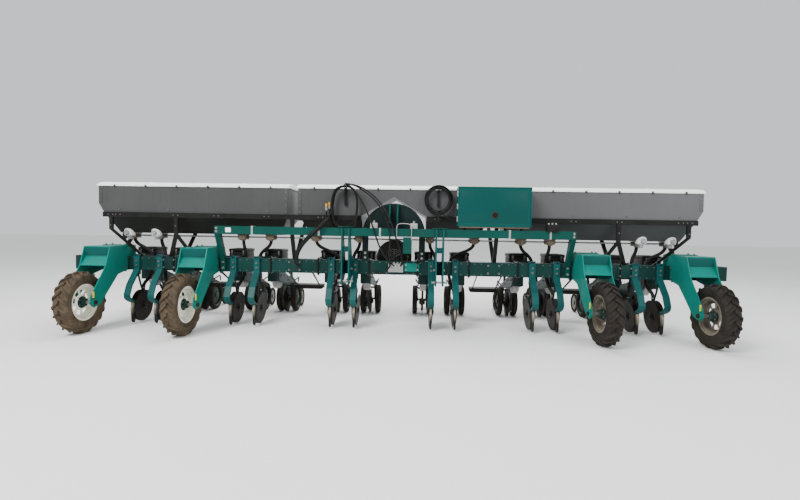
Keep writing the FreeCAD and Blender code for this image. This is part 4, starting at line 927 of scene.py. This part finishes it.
class PLANTER_OT_box_details(bpy.types.Operator):
    """Raised border, hinges, latch and drip edge of the control box"""
    bl_idname = "planter.box_details"
    bl_label = "Control box details"

    def execute(self, context):
        trim = Shape()
        face = BOX_FACE
        low, high = BOX_SIDES
        bottom, top = BOX_EDGES
        trim.block(at(low + 0.045, face - 0.003, bottom + 0.045), at(high - 0.045, face + 0.004, top - 0.045),
                   0.002, 1)
        for x in (low, high - 0.014):
            trim.block(at(x, face - 0.008, bottom), at(x + 0.014, face + 0.002, top), 0.003, 0)
        for z in (bottom, top - 0.014):
            trim.block(at(low + 0.001, face - 0.007, z), at(high - 0.001, face + 0.002, z + 0.014), 0.003, 0)
        for z in (bottom + 0.09, (bottom + top) / 2, top - 0.09):
            trim.drum(at(low - 0.006, face - 0.004, z), 0.009, 0.07, Matrix(), 2, 16)
        trim.drum(at(KNOB_CENTRE[0], face - 0.004, KNOB_CENTRE[1]), 0.036, 0.006, FACING_FRONT, 4, 32, 0.002)
        trim.block(at(low + 0.02, -0.285, bottom - 0.014), at(high - 0.02, -0.1, bottom - 0.001), 0.003, 3)
        for x in (0.9, 1.1, 1.4, 1.6):
            trim.drum(at(x, -0.19, bottom - 0.03), 0.016, 0.034, Matrix(), 5, 20)
            trim.drum(at(x, -0.19, bottom - 0.05), 0.021, 0.012, Matrix(), 5, 6)
        for x in (0.94, 1.56):
            for z in (1.56, 1.68):
                trim.bolt(at(x, -0.08, z), 0.018, Matrix.Rotation(math.radians(-90), 4, "X"), 2)
        finished(trim, "control_box_trim", "frame",
                 ["box_paint", "door_paint", "zinc", "meter_finish", "latch_red", "moulded_black"])
        knob = Shape()
        place = at(KNOB_CENTRE[0], face - 0.015, KNOB_CENTRE[1])
        knob.turned([(0.0, 0.0), (0.0, 0.026), (0.004, 0.029), (0.026, 0.029), (0.031, 0.025), (0.031, 0.0)],
                    Vector(place) + Vector((0, 0.015, 0)), FACING_FRONT, 32, 0, closed=False)
        for number in range(12):
            turn = Matrix.Rotation(number * math.tau / 12, 4, "Y")
            rib = turn @ Vector((0.0285, 0.0, 0.0))
            knob.drum(place + rib, 0.003, 0.024, FACING_FRONT, 0, 8, 0.0)
        knob.block(place + Vector((-0.006, -0.024, -0.022)), place + Vector((0.006, -0.014, 0.022)), 0.003, 0)
        finished(knob, "latch_knob", "knob", ["moulded_black"], 34, ["control_knob"])
        return {"FINISHED"}


class PLANTER_OT_opener_details(bpy.types.Operator):
    """Hub caps, bolts, braces and scrapers of the disc openers"""
    bl_idname = "planter.opener_details"
    bl_label = "Opener details"

    def execute(self, context):
        pattern = Shape()
        for side in (-1, 1):
            turn = Matrix.Rotation(math.radians(90 * side + 4 * side), 4, "Y")
            centre = Vector((side * 0.033, 0.095, 0.222))
            pattern.drum(centre, 0.048, 0.007, turn, 0, 24, 0.002)
            pattern.drum(centre + Vector((side * 0.008, 0, 0)), 0.026, 0.014, turn, 0, 20, 0.003)
            for number in range(5):
                spot = Matrix.Rotation(number * math.tau / 5, 4, "X") @ Vector((side * 0.006, 0.038, 0.0))
                pattern.bolt(centre + spot, 0.011, turn, 1)
        pattern.block((-0.03, -0.0165, 0.655), (0.03, -0.0158, 0.9), 0.0, 2)
        for z in (0.77, 0.83):
            pattern.bolt((0.0, -0.035, z), 0.026, FACING_FRONT, 1)
        pattern.block((-0.02, -0.232, 0.352), (0.02, -0.2, 0.4), 0.005, 2)
        pattern.block((-0.0165, -0.14, 0.29), (0.0165, -0.09, 0.32), 0.004, 2)
        pattern.tube([(0.0, -0.01, 0.7), (0.0, 0.02, 0.6), (0.0, 0.06, 0.5), (0.0, 0.1, 0.42)], 0.013, 3, 12)
        shape = pattern.to_mesh("opener fittings")
        trim = Shape()
        for x in OPENERS:
            trim.join(shape, None, Matrix.Translation(at(x, 0, 0)))
        bpy.data.meshes.remove(shape)
        finished(trim, "opener_fittings", "frame",
                 ["worn_disc", "bolt_steel", "clamp_paint", "unit_finish"])
        return {"FINISHED"}


class PLANTER_OT_meter_details(bpy.types.Operator):
    """Domed drive covers and screws of the fertiliser meters, and the shaft's collars"""
    bl_idname = "planter.meter_details"
    bl_label = "Meter details"

    def execute(self, context):
        trim = Shape()
        for x in METERS:
            outer = abs(x) > 3.0
            cover = 2 if outer else 0
            reach = 0.062 if outer else 0.022
            profile = [(0.0, 0.052), (reach * 0.35, 0.051), (reach * 0.7, 0.04), (reach * 0.93, 0.022),
                       (reach, 0.0),
                       (0.0, 0.0)]
            trim.turned(profile, at(x, 0.256, 1.166), FACING_FRONT, 32, cover, closed=False)
            trim.block(at(x - 0.066, 0.25, 1.188), at(x + 0.066, 0.382, 1.206), 0.004, cover)
            for dx in (-0.045, 0.045):
                for z in (1.14, 1.19):
                    trim.bolt(at(x + dx, 0.255, z), 0.009, FACING_FRONT, 1)
            trim.drum(at(x, 0.316, 1.122), 0.029, 0.018, Matrix(), 0, 24, 0.003)
            for dx in (-0.07, 0.07):
                trim.drum(at(x + dx, *METER_SHAFT), 0.02, 0.016, FACING_SIDE, 1, 20)
            if outer:
                trim.turned([(0.0, 0.03), (0.02, 0.064), (0.06, 0.07), (0.105, 0.06), (0.135, 0.036),
                             (0.142, 0.0),
                             (0.0, 0.0)], at(x, 0.2, 1.148), Matrix(), 32, 3, closed=False)
                trim.turned([(-0.01, 0.0), (-0.01, 0.03), (0.04, 0.034), (0.05, 0.026), (0.052, 0.0)],
                            at(x, 0.165, 1.2), FACING_FRONT, 24, 2, closed=False)
                trim.drum(at(x, 0.2, 1.13), 0.028, 0.04, Matrix(), 2, 24, 0.003)
                for number in range(6):
                    turn = Matrix.Rotation(number * math.tau / 6, 4, "Z")
                    trim.bolt(turn @ Vector((0.058, 0.0, 0.0)) + at(x, 0.2, 1.252), 0.009, Matrix(), 1)
        finished(trim, "meter_covers", "frame",
                 ["meter_finish", "bolt_steel", "cast_aluminium",
                                                                "lid_plastic"])
        shaft = Shape()
        for x in (-3.78, 3.78):
            shaft.turned([(-0.008, 0.0112), (-0.008, 0.03), (-0.005, 0.055), (0.005, 0.055), (0.008, 0.03),
                          (0.008, 0.0112)], at(x, *METER_SHAFT), FACING_SIDE, 36, 0)
            for number in range(18):
                turn = Matrix.Rotation(number * math.tau / 18, 4, "X")
                shaft.block(turn @ Vector((0, 0, 0.057)) + at(x,
                                                              *METER_SHAFT) - Vector((0.003, 0.003, 0.003)),
                            turn @ Vector((0, 0, 0.057)) + at(x,
                                                              *METER_SHAFT) + Vector((0.003, 0.003, 0.003)),
                            0.001, 0, segments=1)
        finished(shaft, "shaft_sprockets", "meter_shaft", ["bolt_steel"])
        return {"FINISHED"}


def smooth_path(points, resolution=8):
    """The points along the smooth line of a route, in order."""
    line = bpy.data.curves.new("route", "CURVE")
    line.dimensions = "3D"
    run = line.splines.new("NURBS")
    run.points.add(len(points) - 1)
    for knot, point in zip(run.points, points):
        knot.co = (*point, 1.0)
    run.order_u = 3
    run.use_endpoint_u = True
    run.resolution_u = resolution
    holder = bpy.data.objects.new("route", line)
    bpy.context.scene.collection.objects.link(holder)
    bpy.context.view_layer.update()
    flat = bpy.data.meshes.new_from_object(holder)
    path = [vert.co.copy() for vert in flat.vertices]
    bpy.data.objects.remove(holder)
    bpy.data.curves.remove(line)
    bpy.data.meshes.remove(flat)
    return path


def evenly(path, pitch):
    """Points the same distance apart along a path."""
    spaced = [path[0].copy()]
    left = pitch
    for start, end in zip(path, path[1:]):
        span = (end - start).length
        done = 0.0
        while span - done >= left:
            done += left
            spaced.append(start.lerp(end, done / span))
            left = pitch
        left -= span - done
    return spaced


def ribbed_tube(shape, path, radius, rib, pitch, finish=0, sides=16):
    """A ribbed skin round a path: rings swept along it, each a little wider or narrower than the last."""
    points = evenly(path, pitch / 2)
    ahead = (points[1] - points[0]).normalized()
    side = ahead.orthogonal().normalized()
    rings = []
    for index, point in enumerate(points):
        after = points[min(index + 1, len(points) - 1)]
        before = points[max(index - 1, 0)]
        new_ahead = (after - before).normalized()
        side = (side - new_ahead * side.dot(new_ahead)).normalized()
        width = radius + (rib if index % 2 else 0.0)
        circle = bmesh.ops.create_circle(shape.mesh, cap_ends=index in (0, len(points) - 1), segments=sides,
                                         radius=width)["verts"]
        frame_turn = Matrix((side, new_ahead.cross(side), new_ahead)).transposed().to_4x4()
        bmesh.ops.transform(shape.mesh, verts=circle, matrix=Matrix.Translation(point) @ frame_turn)
        rings.append(circle)
    made = [vert for ring in rings for vert in ring]
    for lower, upper in zip(rings, rings[1:]):
        for number in range(sides):
            after = (number + 1) % sides
            shape.mesh.faces.new((lower[number], lower[after], upper[after], upper[number]))
    faces = list({face for vert in made for face in vert.link_faces})
    bmesh.ops.recalc_face_normals(shape.mesh, faces=faces)
    for face in faces:
        face.material_index = finish


class PLANTER_OT_fertiliser_ducts(bpy.types.Operator):
    """Ribbed hoses from the meters to the openers, with clips at both ends"""
    bl_idname = "planter.fertiliser_ducts"
    bl_label = "Fertiliser hoses"

    def execute(self, context):
        ducts = Shape()
        middle, under, back = 0.316, 1.13, 0.226
        for index, (meter, opener) in enumerate(zip(METERS, OPENERS)):
            lane = PAIRS[index // 2] + (0.085 if index % 2 else -0.085)
            route = [at(meter, middle, under), at(meter, middle, under - 0.07),
                     at(meter + 0.82 * (lane - meter), middle - 0.04, under - 0.17),
                     at(lane, back + 0.014, under - 0.29),
                     at(lane + 0.1 * (opener - lane), back - 0.002, 0.69),
                     at(lane + 0.45 * (opener - lane), back - 0.036, 0.58), at(opener, 0.117, 0.508),
                     at(opener, 0.117, 0.446)]
            path = smooth_path(route)
            ribbed_tube(ducts, path, 0.0205, 0.0028, 0.011, 0, 14)
            for place in (path[0] - Vector((0, 0, 0.012)), path[-1] + Vector((0, 0, 0.014))):
                ducts.drum(place, 0.0262, 0.012, Matrix(), 1, 24, 0.001)
        finished(ducts, "ribbed_fertiliser_hoses", "frame", ["duct_rubber", "zinc"], 50,
                 ["fertiliser_hoses"])
        return {"FINISHED"}


class PLANTER_OT_fan_details(bpy.types.Operator):
    """Intake grille, outlet and motor of the fan, and the fittings of the hydraulic block"""
    bl_idname = "planter.fan_details"
    bl_label = "Fan and hydraulics"

    def execute(self, context):
        trim = Shape()
        for radius in (0.035, 0.06, 0.085, 0.108):
            trim.turned([(-0.002, radius - 0.002), (0.002, radius - 0.002), (0.002, radius + 0.002),
                         (-0.002, radius + 0.002)], at(0, 0.198, FAN_HEIGHT), FACING_FRONT, 40, 1)
        for number in range(6):
            turn = Matrix.Rotation(number * math.tau / 6, 4, "Y")
            tip = turn @ Vector((0, 0, 0.115))
            trim.tube([at(0, 0.197, FAN_HEIGHT), at(0, 0.197, FAN_HEIGHT) + tip], 0.0025, 1, 8, smooth=False)
        trim.turned([(0.0, 0.226), (0.012, 0.226), (0.012, 0.236), (0.0, 0.236)], at(0, 0.206, FAN_HEIGHT),
                    FACING_FRONT,
                    64, 0)
        trim.turned([(0.0, 0.226), (0.012, 0.226), (0.012, 0.236), (0.0, 0.236)], at(0, 0.385, FAN_HEIGHT),
                    FACING_FRONT,
                    64, 0)
        trim.drum(at(0, 0.42, FAN_HEIGHT), 0.06, 0.09, FACING_FRONT, 0, 36, 0.006)
        trim.drum(at(0, 0.47, FAN_HEIGHT), 0.045, 0.02, FACING_FRONT, 2, 36, 0.003)
        for number in range(6):
            turn = Matrix.Rotation(number * math.tau / 6 + 0.3, 4, "Y")
            trim.bolt(at(0, 0.381, FAN_HEIGHT) + turn @ Vector((0, 0, 0.205)), 0.014,
                      Matrix.Rotation(math.radians(-90), 4, "X"), 2)
        for x in BLOCK_PORTS:
            trim.drum(at(x, -0.086, BLOCK_HEIGHT), 0.014, 0.014, FACING_FRONT, 2, 6, 0.001)
            trim.drum(at(x, -0.098, BLOCK_HEIGHT), 0.009, 0.014, FACING_FRONT, 2, 16, 0.001)
            trim.drum(at(x, -0.04, 0.868), 0.013, 0.02, Matrix(), 2, 6, 0.001)
            trim.block(at(x - 0.012, -0.09, 0.765), at(x + 0.012, -0.078, 0.8), 0.003, 2)
        trim.block(at(0.14, -0.02, 0.755), at(0.34, -0.001, 0.865), 0.004, 3)
        for x in (0.165, 0.315):
            for z in (0.78, 0.84):
                trim.bolt(at(x, -0.021, z), 0.018, FACING_FRONT, 2)
        trim.tube([at(-0.035, -0.1, 0.835), at(-0.035, -0.15, 0.835), at(-0.06, -0.17, 0.79),
                   at(-0.12, -0.12, 0.74),
                   at(-0.2, -0.04, 0.72), at(-0.24, -0.012, 0.75)], 0.009, 4, 12)
        trim.tube([at(0.1, -0.1, 0.835), at(0.1, -0.15, 0.84), at(0.14, -0.17, 0.87), at(0.2, -0.1, 0.93),
                   at(0.18, 0.0, 0.96), at(0.1, 0.16, 0.95), at(0.06, 0.205, 0.93)], 0.009, 4, 12)
        finished(trim, "fan_and_block_fittings", "frame",
                 ["black_paint", "bolt_steel", "cast_aluminium", "fork_paint", "hose_finish"])
        steps = Shape()
        for side in (-1, 1):
            for gap in (1, 2):
                centre = side * gap * PAIR_PITCH
                for y in (0.782, 1.012):
                    steps.block(at(centre - 0.199, y, 0.4), at(centre + 0.199, y + 0.006, 0.458), 0.002, 0)
                for x in (centre - 0.199, centre + 0.193):
                    steps.block(at(x, 0.783, 0.402), at(x + 0.006, 1.017, 0.457), 0.002, 0)
                for number in range(9):
                    x = centre - 0.176 + number * 0.044
                    steps.block(at(x - 0.006, 0.79, 0.4555), at(x + 0.006, 1.01, 0.4605), 0.0015, 0,
                                segments=1)
        finished(steps, "step_treads", "frame", ["black_paint"])
        return {"FINISHED"}


class PLANTER_OT_row_units(bpy.types.Operator):
    """The twelve seeding units, each with its seed box, meter, linkage, springs, discs and wheels"""
    bl_idname = "planter.row_units"
    bl_label = "Seeding units"

    def execute(self, context):
        pattern = self.one_unit().to_mesh("seeding unit")
        for number, x in enumerate(SEED_ROWS, start=1):
            data = pattern.copy()
            data.transform(Matrix.Translation(at(x, 0, 0)))
            finished(data, f"seeding_unit_{number:02d}_body", f"seeding_unit_{number:02d}",
                     ["unit_finish", "moulded_black", "wheel_rubber", "worn_disc", "bolt_steel",
                      "cast_aluminium"],
                     34, [f"row_unit_{number:02d}"])
        bpy.data.meshes.remove(pattern)
        return {"FINISHED"}

    def one_unit(self):
        unit = Shape()
        paint, plastic, rubber, disc, steel, cast = range(6)
        unit.block((-0.126, 0.364, 0.672), (0.126, 0.676, 0.955), 0.02, plastic, segments=3)
        unit.block((-0.13, 0.36, 0.95), (0.13, 0.68, 0.9985), 0.014, plastic, segments=3)
        unit.block((-0.09, 0.4, 0.9975), (0.09, 0.64, 1.0), 0.001, plastic)
        for x in (-0.08, 0.08):
            unit.block((x - 0.012, 0.356, 0.9), (x + 0.012, 0.364, 0.972), 0.003, steel)
        unit.block((-0.128, 0.38, 0.76), (0.128, 0.66, 0.774), 0.003, plastic)
        for x in (-0.089, 0.079):
            for drop in (0.0, 0.14):
                start = 0.205 if drop == 0.0 else 0.247
                unit.block((x, start, 0.83 - drop), (x + 0.01, 0.4, 0.87 - drop), 0.003, paint)
            for z in (0.85, 0.71):
                unit.bolt((x + (0.012 if x > 0 else -0.002), 0.385, z), 0.02,
                          Matrix.Rotation(math.radians(90 if x > 0 else -90), 4, "Y"), steel)
        self.spring(unit, steel)
        unit.block((-0.07, 0.34, 0.55), (0.07, 0.372, 0.9), 0.006, paint)
        unit.turned([(-0.045, 0.0), (-0.045, 0.112), (-0.038, 0.12), (0.038, 0.12), (0.045, 0.112),
                     (0.045, 0.0)],
                    (0, 0.58, 0.55), FACING_SIDE, 48, cast, closed=False)
        for number in range(10):
            turn = Matrix.Rotation(number * math.tau / 10, 4, "X")
            for side in (-1, 1):
                spot = turn @ Vector((side * 0.047, 0.0, 0.07))
                unit.block(Vector((0, 0.58, 0.55)) + spot - Vector((0.002, 0.004, 0.004)),
                           Vector((0, 0.58, 0.55)) + spot + Vector((0.002, 0.004, 0.004)), 0.001, cast,
                           segments=1)
        unit.drum((0.056, 0.58, 0.55), 0.03, 0.02, FACING_SIDE, cast, 24, 0.004)
        side_plate = [(0.4, 0.67), (0.66, 0.67), (0.86, 0.6), (1.05, 0.54), (1.3, 0.46), (1.59, 0.36),
                      (1.67, 0.13),
                      (1.61, 0.13), (1.52, 0.3), (1.3, 0.33), (1.21, 0.19), (1.15, 0.19), (1.07, 0.24),
                      (1.01, 0.44),
                      (0.46, 0.53), (0.42, 0.57)]
        for x in (-0.07, 0.06):
            unit.sheet(side_plate, 0.01, (x, 0, 0), paint, 0.002)
            outside = -1 if x < 0 else 1
            turn = Matrix.Rotation(math.radians(90 * outside), 4, "Y")
            face = x + (0.011 if outside > 0 else -0.001)
            for y, z in ((0.5, 0.62), (0.7, 0.6), (0.92, 0.52), (1.4, 0.38), (1.25, 0.43)):
                unit.bolt((face, y, z), 0.02, turn, steel)
        for y, z in ((0.95, 0.5), (1.4, 0.37)):
            unit.drum((0, y, z), 0.016, 0.12, FACING_SIDE, paint, 20)
        unit.drum((0, 1.2, 0.22), 0.015, 0.26, FACING_SIDE, steel, 20)
        unit.tube([(0.0, 0.66, 0.48), (0.0, 0.74, 0.38), (0.0, 0.86, 0.22), (0.0, 0.92, 0.1)], 0.017,
                  plastic, 12)
        for side in (-1, 1):
            turn = Matrix.Rotation(math.radians(90 * side), 4, "Y")
            self.gauge_wheel(unit, side, turn, rubber, paint, steel)
            self.closing_wheel(unit, side, turn, rubber, steel)
            unit.turned([(-0.0022, 0.02), (-0.0022, 0.176), (-0.0006, 0.19), (0.0006, 0.19), (0.0022, 0.176),
                         (0.0022, 0.02)], (side * 0.0085, 1.11, 0.194), turn, 64, disc)
            unit.drum((side * 0.03, 1.11, 0.194), 0.045, 0.034, turn, paint, 28, 0.006, tip=0.034)
            for number in range(5):
                spot = Matrix.Rotation(number * math.tau / 5, 4, "X") @ Vector((side * 0.014, 0.055, 0.0))
                unit.bolt(Vector((0, 1.11, 0.194)) + spot, 0.012, turn, steel)
            unit.tube([(side * 0.055, 1.22, 0.46), (side * 0.1, 1.3, 0.5), (side * 0.1, 1.42, 0.52),
                       (side * 0.06, 1.5, 0.42)], 0.011, paint, 12)
        unit.block((-0.016, 1.28, 0.43), (0.016, 1.36, 0.56), 0.005, paint)
        unit.drum((0, 1.32, 0.58), 0.02, 0.05, Matrix(), plastic, 16, 0.006)
        return unit

    @staticmethod
    def spring(unit, steel):
        """Two down-pressure springs between the links, hooked to their bolts."""
        for x in (-0.05, 0.05):
            low, high = Vector((x, 0.37, 0.72)), Vector((x, 0.26, 0.82))
            ahead = (high - low).normalized()
            side = Vector((1, 0, 0))
            other = ahead.cross(side)
            turns, radius = 9, 0.017
            points = [low - ahead * 0.012]
            for number in range(turns * 8 + 1):
                angle = number * math.tau / 8
                points.append(low.lerp(high, number / (turns * 8)) + (side * math.cos(angle)
                                                                      + other * math.sin(angle)) * radius)
            points.append(high + ahead * 0.012)
            unit.tube(points, 0.0032, steel, 4)

    @staticmethod
    def gauge_wheel(unit, side, turn, rubber, paint, steel):
        """A depth wheel: ribbed rubber tread on a spoked pressed rim."""
        centre = (side * 0.1125, 1.2, 0.22)
        unit.turned([(-0.0375, 0.17), (-0.0375, 0.2), (-0.03, 0.214), (-0.018, 0.22), (-0.012, 0.2155),
                     (0.012, 0.2155),
                     (0.018, 0.22), (0.03, 0.214), (0.0375, 0.2), (0.0375, 0.17), (0.02, 0.158),
                     (-0.02, 0.158)],
                    centre, turn, 56, rubber)
        unit.turned([(-0.034, 0.172), (-0.036, 0.166), (-0.02, 0.153), (0.02, 0.153), (0.036, 0.166),
                     (0.034, 0.172),
                     (0.024, 0.16), (-0.024, 0.16)], centre, turn, 56, paint)
        unit.turned([(0.004, 0.05), (0.018, 0.06), (0.012, 0.1), (0.0, 0.13), (-0.006, 0.156), (-0.01, 0.156),
                     (-0.005, 0.13), (0.006, 0.1), (0.012, 0.06), (-0.002, 0.05)], centre, turn, 56, paint)
        unit.turned([(-0.02, 0.016), (-0.02, 0.05), (0.02, 0.05), (0.03, 0.042), (0.032, 0.0), (-0.02, 0.0)],
                    centre, turn, 32, paint, closed=False)
        for number in range(5):
            spot = Matrix.Rotation(number * math.tau / 5, 4, "X") @ Vector((side * 0.019, 0.072, 0.0))
            unit.bolt(Vector(centre) + spot, 0.012, turn, steel)

    @staticmethod
    def closing_wheel(unit, side, turn, rubber, steel):
        """A press wheel behind the discs: rubber rim on a dished centre."""
        centre = (side * 0.087, 1.65, 0.15)
        unit.turned([(-0.015, 0.118), (-0.015, 0.138), (-0.008, 0.149), (0.004, 0.15), (0.015, 0.138),
                     (0.015, 0.118)], centre, turn, 48, rubber)
        unit.turned([(-0.004, 0.03), (0.004, 0.05), (0.006, 0.09), (-0.003, 0.12), (-0.008, 0.12),
                     (0.0, 0.09),
                     (-0.003, 0.05), (-0.01, 0.03)], centre, turn, 48, steel)
        unit.turned([(-0.018, 0.0), (-0.018, 0.036), (0.014, 0.036), (0.02, 0.026), (0.02, 0.0)], centre,
                    turn, 32,
                    steel, closed=False)


# --- hoses and cable -----------------------------------------------------------------------------------
def nurbs_cord(name, points, diameter, finish):
    """A cord as one smooth line through its route's control points."""
    line = bpy.data.curves.new(name, "CURVE")
    line.dimensions = "3D"
    line.bevel_depth = diameter / 2
    line.bevel_resolution = 3
    line.use_fill_caps = True
    run = line.splines.new("NURBS")
    run.points.add(len(points) - 1)
    for knot, point in zip(run.points, points):
        knot.co = (*point, 1.0)
    run.order_u = 3
    run.use_endpoint_u = True
    run.resolution_u = 6
    line.materials.append(bpy.data.materials[finish])
    piece = bpy.data.objects.new(name, line)
    bpy.context.scene.collection.objects.link(piece)
    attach(piece, "frame")
    return piece


def length_of(points):
    path = smooth_path(points, 12)
    return sum((end - start).length for start, end in zip(path, path[1:]))


def coupling(shape, low, cap=0, body=1):
    """A quick coupling standing up from its hose end, its body bright and its dust cap on top."""
    shape.turned([(0.0, 0.0), (0.0, 0.011), (0.012, 0.0125), (0.014, 0.0155), (0.032, 0.0155),
                  (0.034, 0.0135),
                  (0.044, 0.0135), (0.044, 0.0)], low, Matrix(), 28, body, closed=False)
    shape.drum(Vector(low) + Vector((0, 0, 0.022)), 0.0168, 0.01, Matrix(), body, 6, 0.001)
    shape.turned([(0.044, 0.0), (0.044, 0.0165), (0.048, 0.0172), (0.07, 0.0172), (0.074, 0.0155),
                  (0.086, 0.015),
                  (0.09, 0.011), (0.09, 0.0)], low, Matrix(), 28, cap, closed=False)


class PLANTER_OT_stored_hoses(bpy.types.Operator):
    """Hydraulic hoses looped over the left hook and the control cable coiled on the right one"""
    bl_idname = "planter.stored_hoses"
    bl_label = "Stored hoses and cable"

    def execute(self, context):
        sizes = context.scene.planter_sizes
        hose, cable = sizes.hose_diameter, sizes.cable_diameter
        shifts = [(0, 0.02, 0), (0, 0.018, 0), (-0.002, 0.015, 0.004), (-0.004, 0.014, 0.005),
                  (-0.008, 0.012, 0.006),
                  (-0.011, 0.009, 0.006), (-0.013, 0.005, 0.004), (-0.0135, 0.0, 0.0), (-0.0135, 0.0, 0.0),
                  (-0.0135, 0.0, 0.0)]
        for number, side in enumerate((1, -1)):
            points = [at(*(a + side * b for a, b in zip(place, shift)))
                      for place, shift in zip(HOSE_ROUTE, shifts)][::-1]
            points = points[:-1]
            first = -0.086 - number * 0.044
            points += self.hose_turns(first, 0.022, 2, number)
            low = at(-0.8273 - number * 0.0343, -0.099 - number * 0.022, 1.549 - number * 0.02)
            points += [low + Vector(step) for step in HOSE_TAIL]
            piece = nurbs_cord(f"hydraulic_hose_{number + 1}", points, hose, "hose_finish")
            end = Shape()
            coupling(end, low)
            fitting = finished(end, f"hose_coupling_{number + 1}", "frame",
                               ["coupling_cap", "cast_aluminium"], 34, ["couplings_and_plug"])
            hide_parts("hydraulic_hose_loop", "hydraulic_hose_run")
            round(length_of(points), 3)
        plug_top = at(0.572, -0.15, 1.486)
        cable_points = self.cable_turns(plug_top)
        coil = nurbs_cord("control_cable", cable_points, cable, "hose_finish")
        plug = Shape()
        plug.turned([(0.0, 0.0), (0.0, 0.008), (0.012, 0.009), (0.02, 0.014), (0.06, 0.0155), (0.064, 0.0165),
                     (0.084, 0.0165), (0.086, 0.0)], plug_top, Matrix.Rotation(math.pi, 4, "X"), 24, 0,
                    closed=False)
        fitting = finished(plug, "cable_plug", "frame", ["moulded_black"], 34,
                           ["couplings_and_plug"])
        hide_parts("control_cable_coil", "control_cable_lead")
        round(length_of(cable_points), 3)
        self.supply_hoses(hose)
        self.guard()
        return {"FINISHED"}

    @staticmethod
    def supply_hoses(hose):
        """The hoses that hang between the hydraulic block and the hook."""
        for number, route in enumerate(SUPPLY_ROUTES):
            points = [at(*place) for place in route]
            piece = nurbs_cord(f"supply_hose_{number + 1}", points, hose, "hose_finish")
            round(length_of(points), 3)

    @staticmethod
    def hose_turns(first, pitch, turns, number):
        """Turns hung over the hook side by side, each fanned out and hanging a little lower than the last."""
        points = []
        steps = 16
        for step in range(turns * steps + 13):
            angle = math.pi - step * math.tau / steps
            done = step / steps
            droop = 0.012 * done
            fan = (0.014 * done - 0.016) * (1 if number else -1)
            x = HOOKED_HOSES[0] + (0.157 + 0.4 * droop) * math.cos(angle) + fan * max(0.0, -math.sin(angle))
            upward = math.sin(angle)
            reach = 0.095 if upward > 0 else -0.095 - 2.0 * droop
            z = HOOKED_HOSES[1] + 0.16 * upward + reach * math.sin(min(math.pi / 2, 1.9 * abs(upward)))
            points.append(at(x, first - pitch * done, z))
        return points

    @staticmethod
    def cable_turns(plug_top):
        """The lead from the box, then three layers of three turns on the hook, then the tail to the plug."""
        points = [at(*place) for place in CABLE_ROUTE]
        cells = [(column, layer) for layer in range(3) for column in ((0, 1, 2) if layer % 2 == 0 else (2, 1,
                                                                                                        0))]
        pitch = 0.0205
        steps = 16
        total = len(cells) * steps
        for number in range(1, total - 3):
            done = number / steps
            cell = min(int(done), len(cells) - 1)
            after = min(cell + 1, len(cells) - 1)
            part = done - cell
            column = cells[cell][0] * (1 - part) + cells[after][0] * part
            layer = cells[cell][1] * (1 - part) + cells[after][1] * part
            angle = math.radians(-90) - number * math.tau / steps
            radius = 0.137 + pitch * layer
            fall = 1.1 if math.sin(angle) < 0 else 1.0
            points.append(at(COIL_CENTRE[0] + radius * math.cos(angle), -0.087 - pitch * column,
                             COIL_CENTRE[1] + radius * math.sin(angle) * fall))
        points += [at(0.715, -0.146, 1.59), at(0.665, -0.15, 1.535), at(0.61, -0.152, 1.52),
                   at(0.576, -0.152, 1.505)]
        points.append(plug_top)
        return points

    @staticmethod
    def guard():
        """The spiral guard round the hoses' run."""
        route = [at(*place) for place in HOSE_ROUTE]
        path = smooth_path(route)
        guard = Shape()
        ribbed_tube(guard, path[6:-16], 0.0262, 0.0022, 0.016, 0, 18)
        finished(guard, "hose_guard", "frame", ["moulded_black"], 50)


OPERATORS = (
    PLANTER_OT_finishes, PLANTER_OT_stage, PLANTER_OT_tyres, PLANTER_OT_rims, PLANTER_OT_fork_details,
    PLANTER_OT_toolbar_details, PLANTER_OT_hitch_details, PLANTER_OT_tank_details, PLANTER_OT_box_details,
    PLANTER_OT_opener_details, PLANTER_OT_meter_details, PLANTER_OT_fertiliser_ducts, PLANTER_OT_fan_details,
    PLANTER_OT_row_units, PLANTER_OT_stored_hoses,
)


class PLANTER_PT_panel(bpy.types.Panel):
    """Buttons for each piece, and the sizes and colours they use"""
    bl_idname = "PLANTER_PT_panel"
    bl_label = "Corn planter"
    bl_space_type = "VIEW_3D"
    bl_region_type = "UI"
    bl_category = "Planter"

    def draw(self, context):
        for group in (context.scene.planter_colours, context.scene.planter_sizes):
            for name in group.__annotations__:
                self.layout.prop(group, name)
        for operator in OPERATORS:
            self.layout.operator(operator.bl_idname)


CLASSES = (PlanterColours, PlanterSizes, *OPERATORS, PLANTER_PT_panel)


def register():
    for kind in CLASSES:
        bpy.utils.register_class(kind)
    bpy.types.Scene.planter_colours = PointerProperty(type=PlanterColours)
    bpy.types.Scene.planter_sizes = PointerProperty(type=PlanterSizes)


def unregister():
    del bpy.types.Scene.planter_sizes
    del bpy.types.Scene.planter_colours
    for kind in reversed(CLASSES):
        bpy.utils.unregister_class(kind)


def main():
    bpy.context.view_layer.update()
    register()
    for operator in OPERATORS:
        group, name = operator.bl_idname.split(".")
        getattr(getattr(bpy.ops, group), name)()


if __name__ == "__main__":
    main()
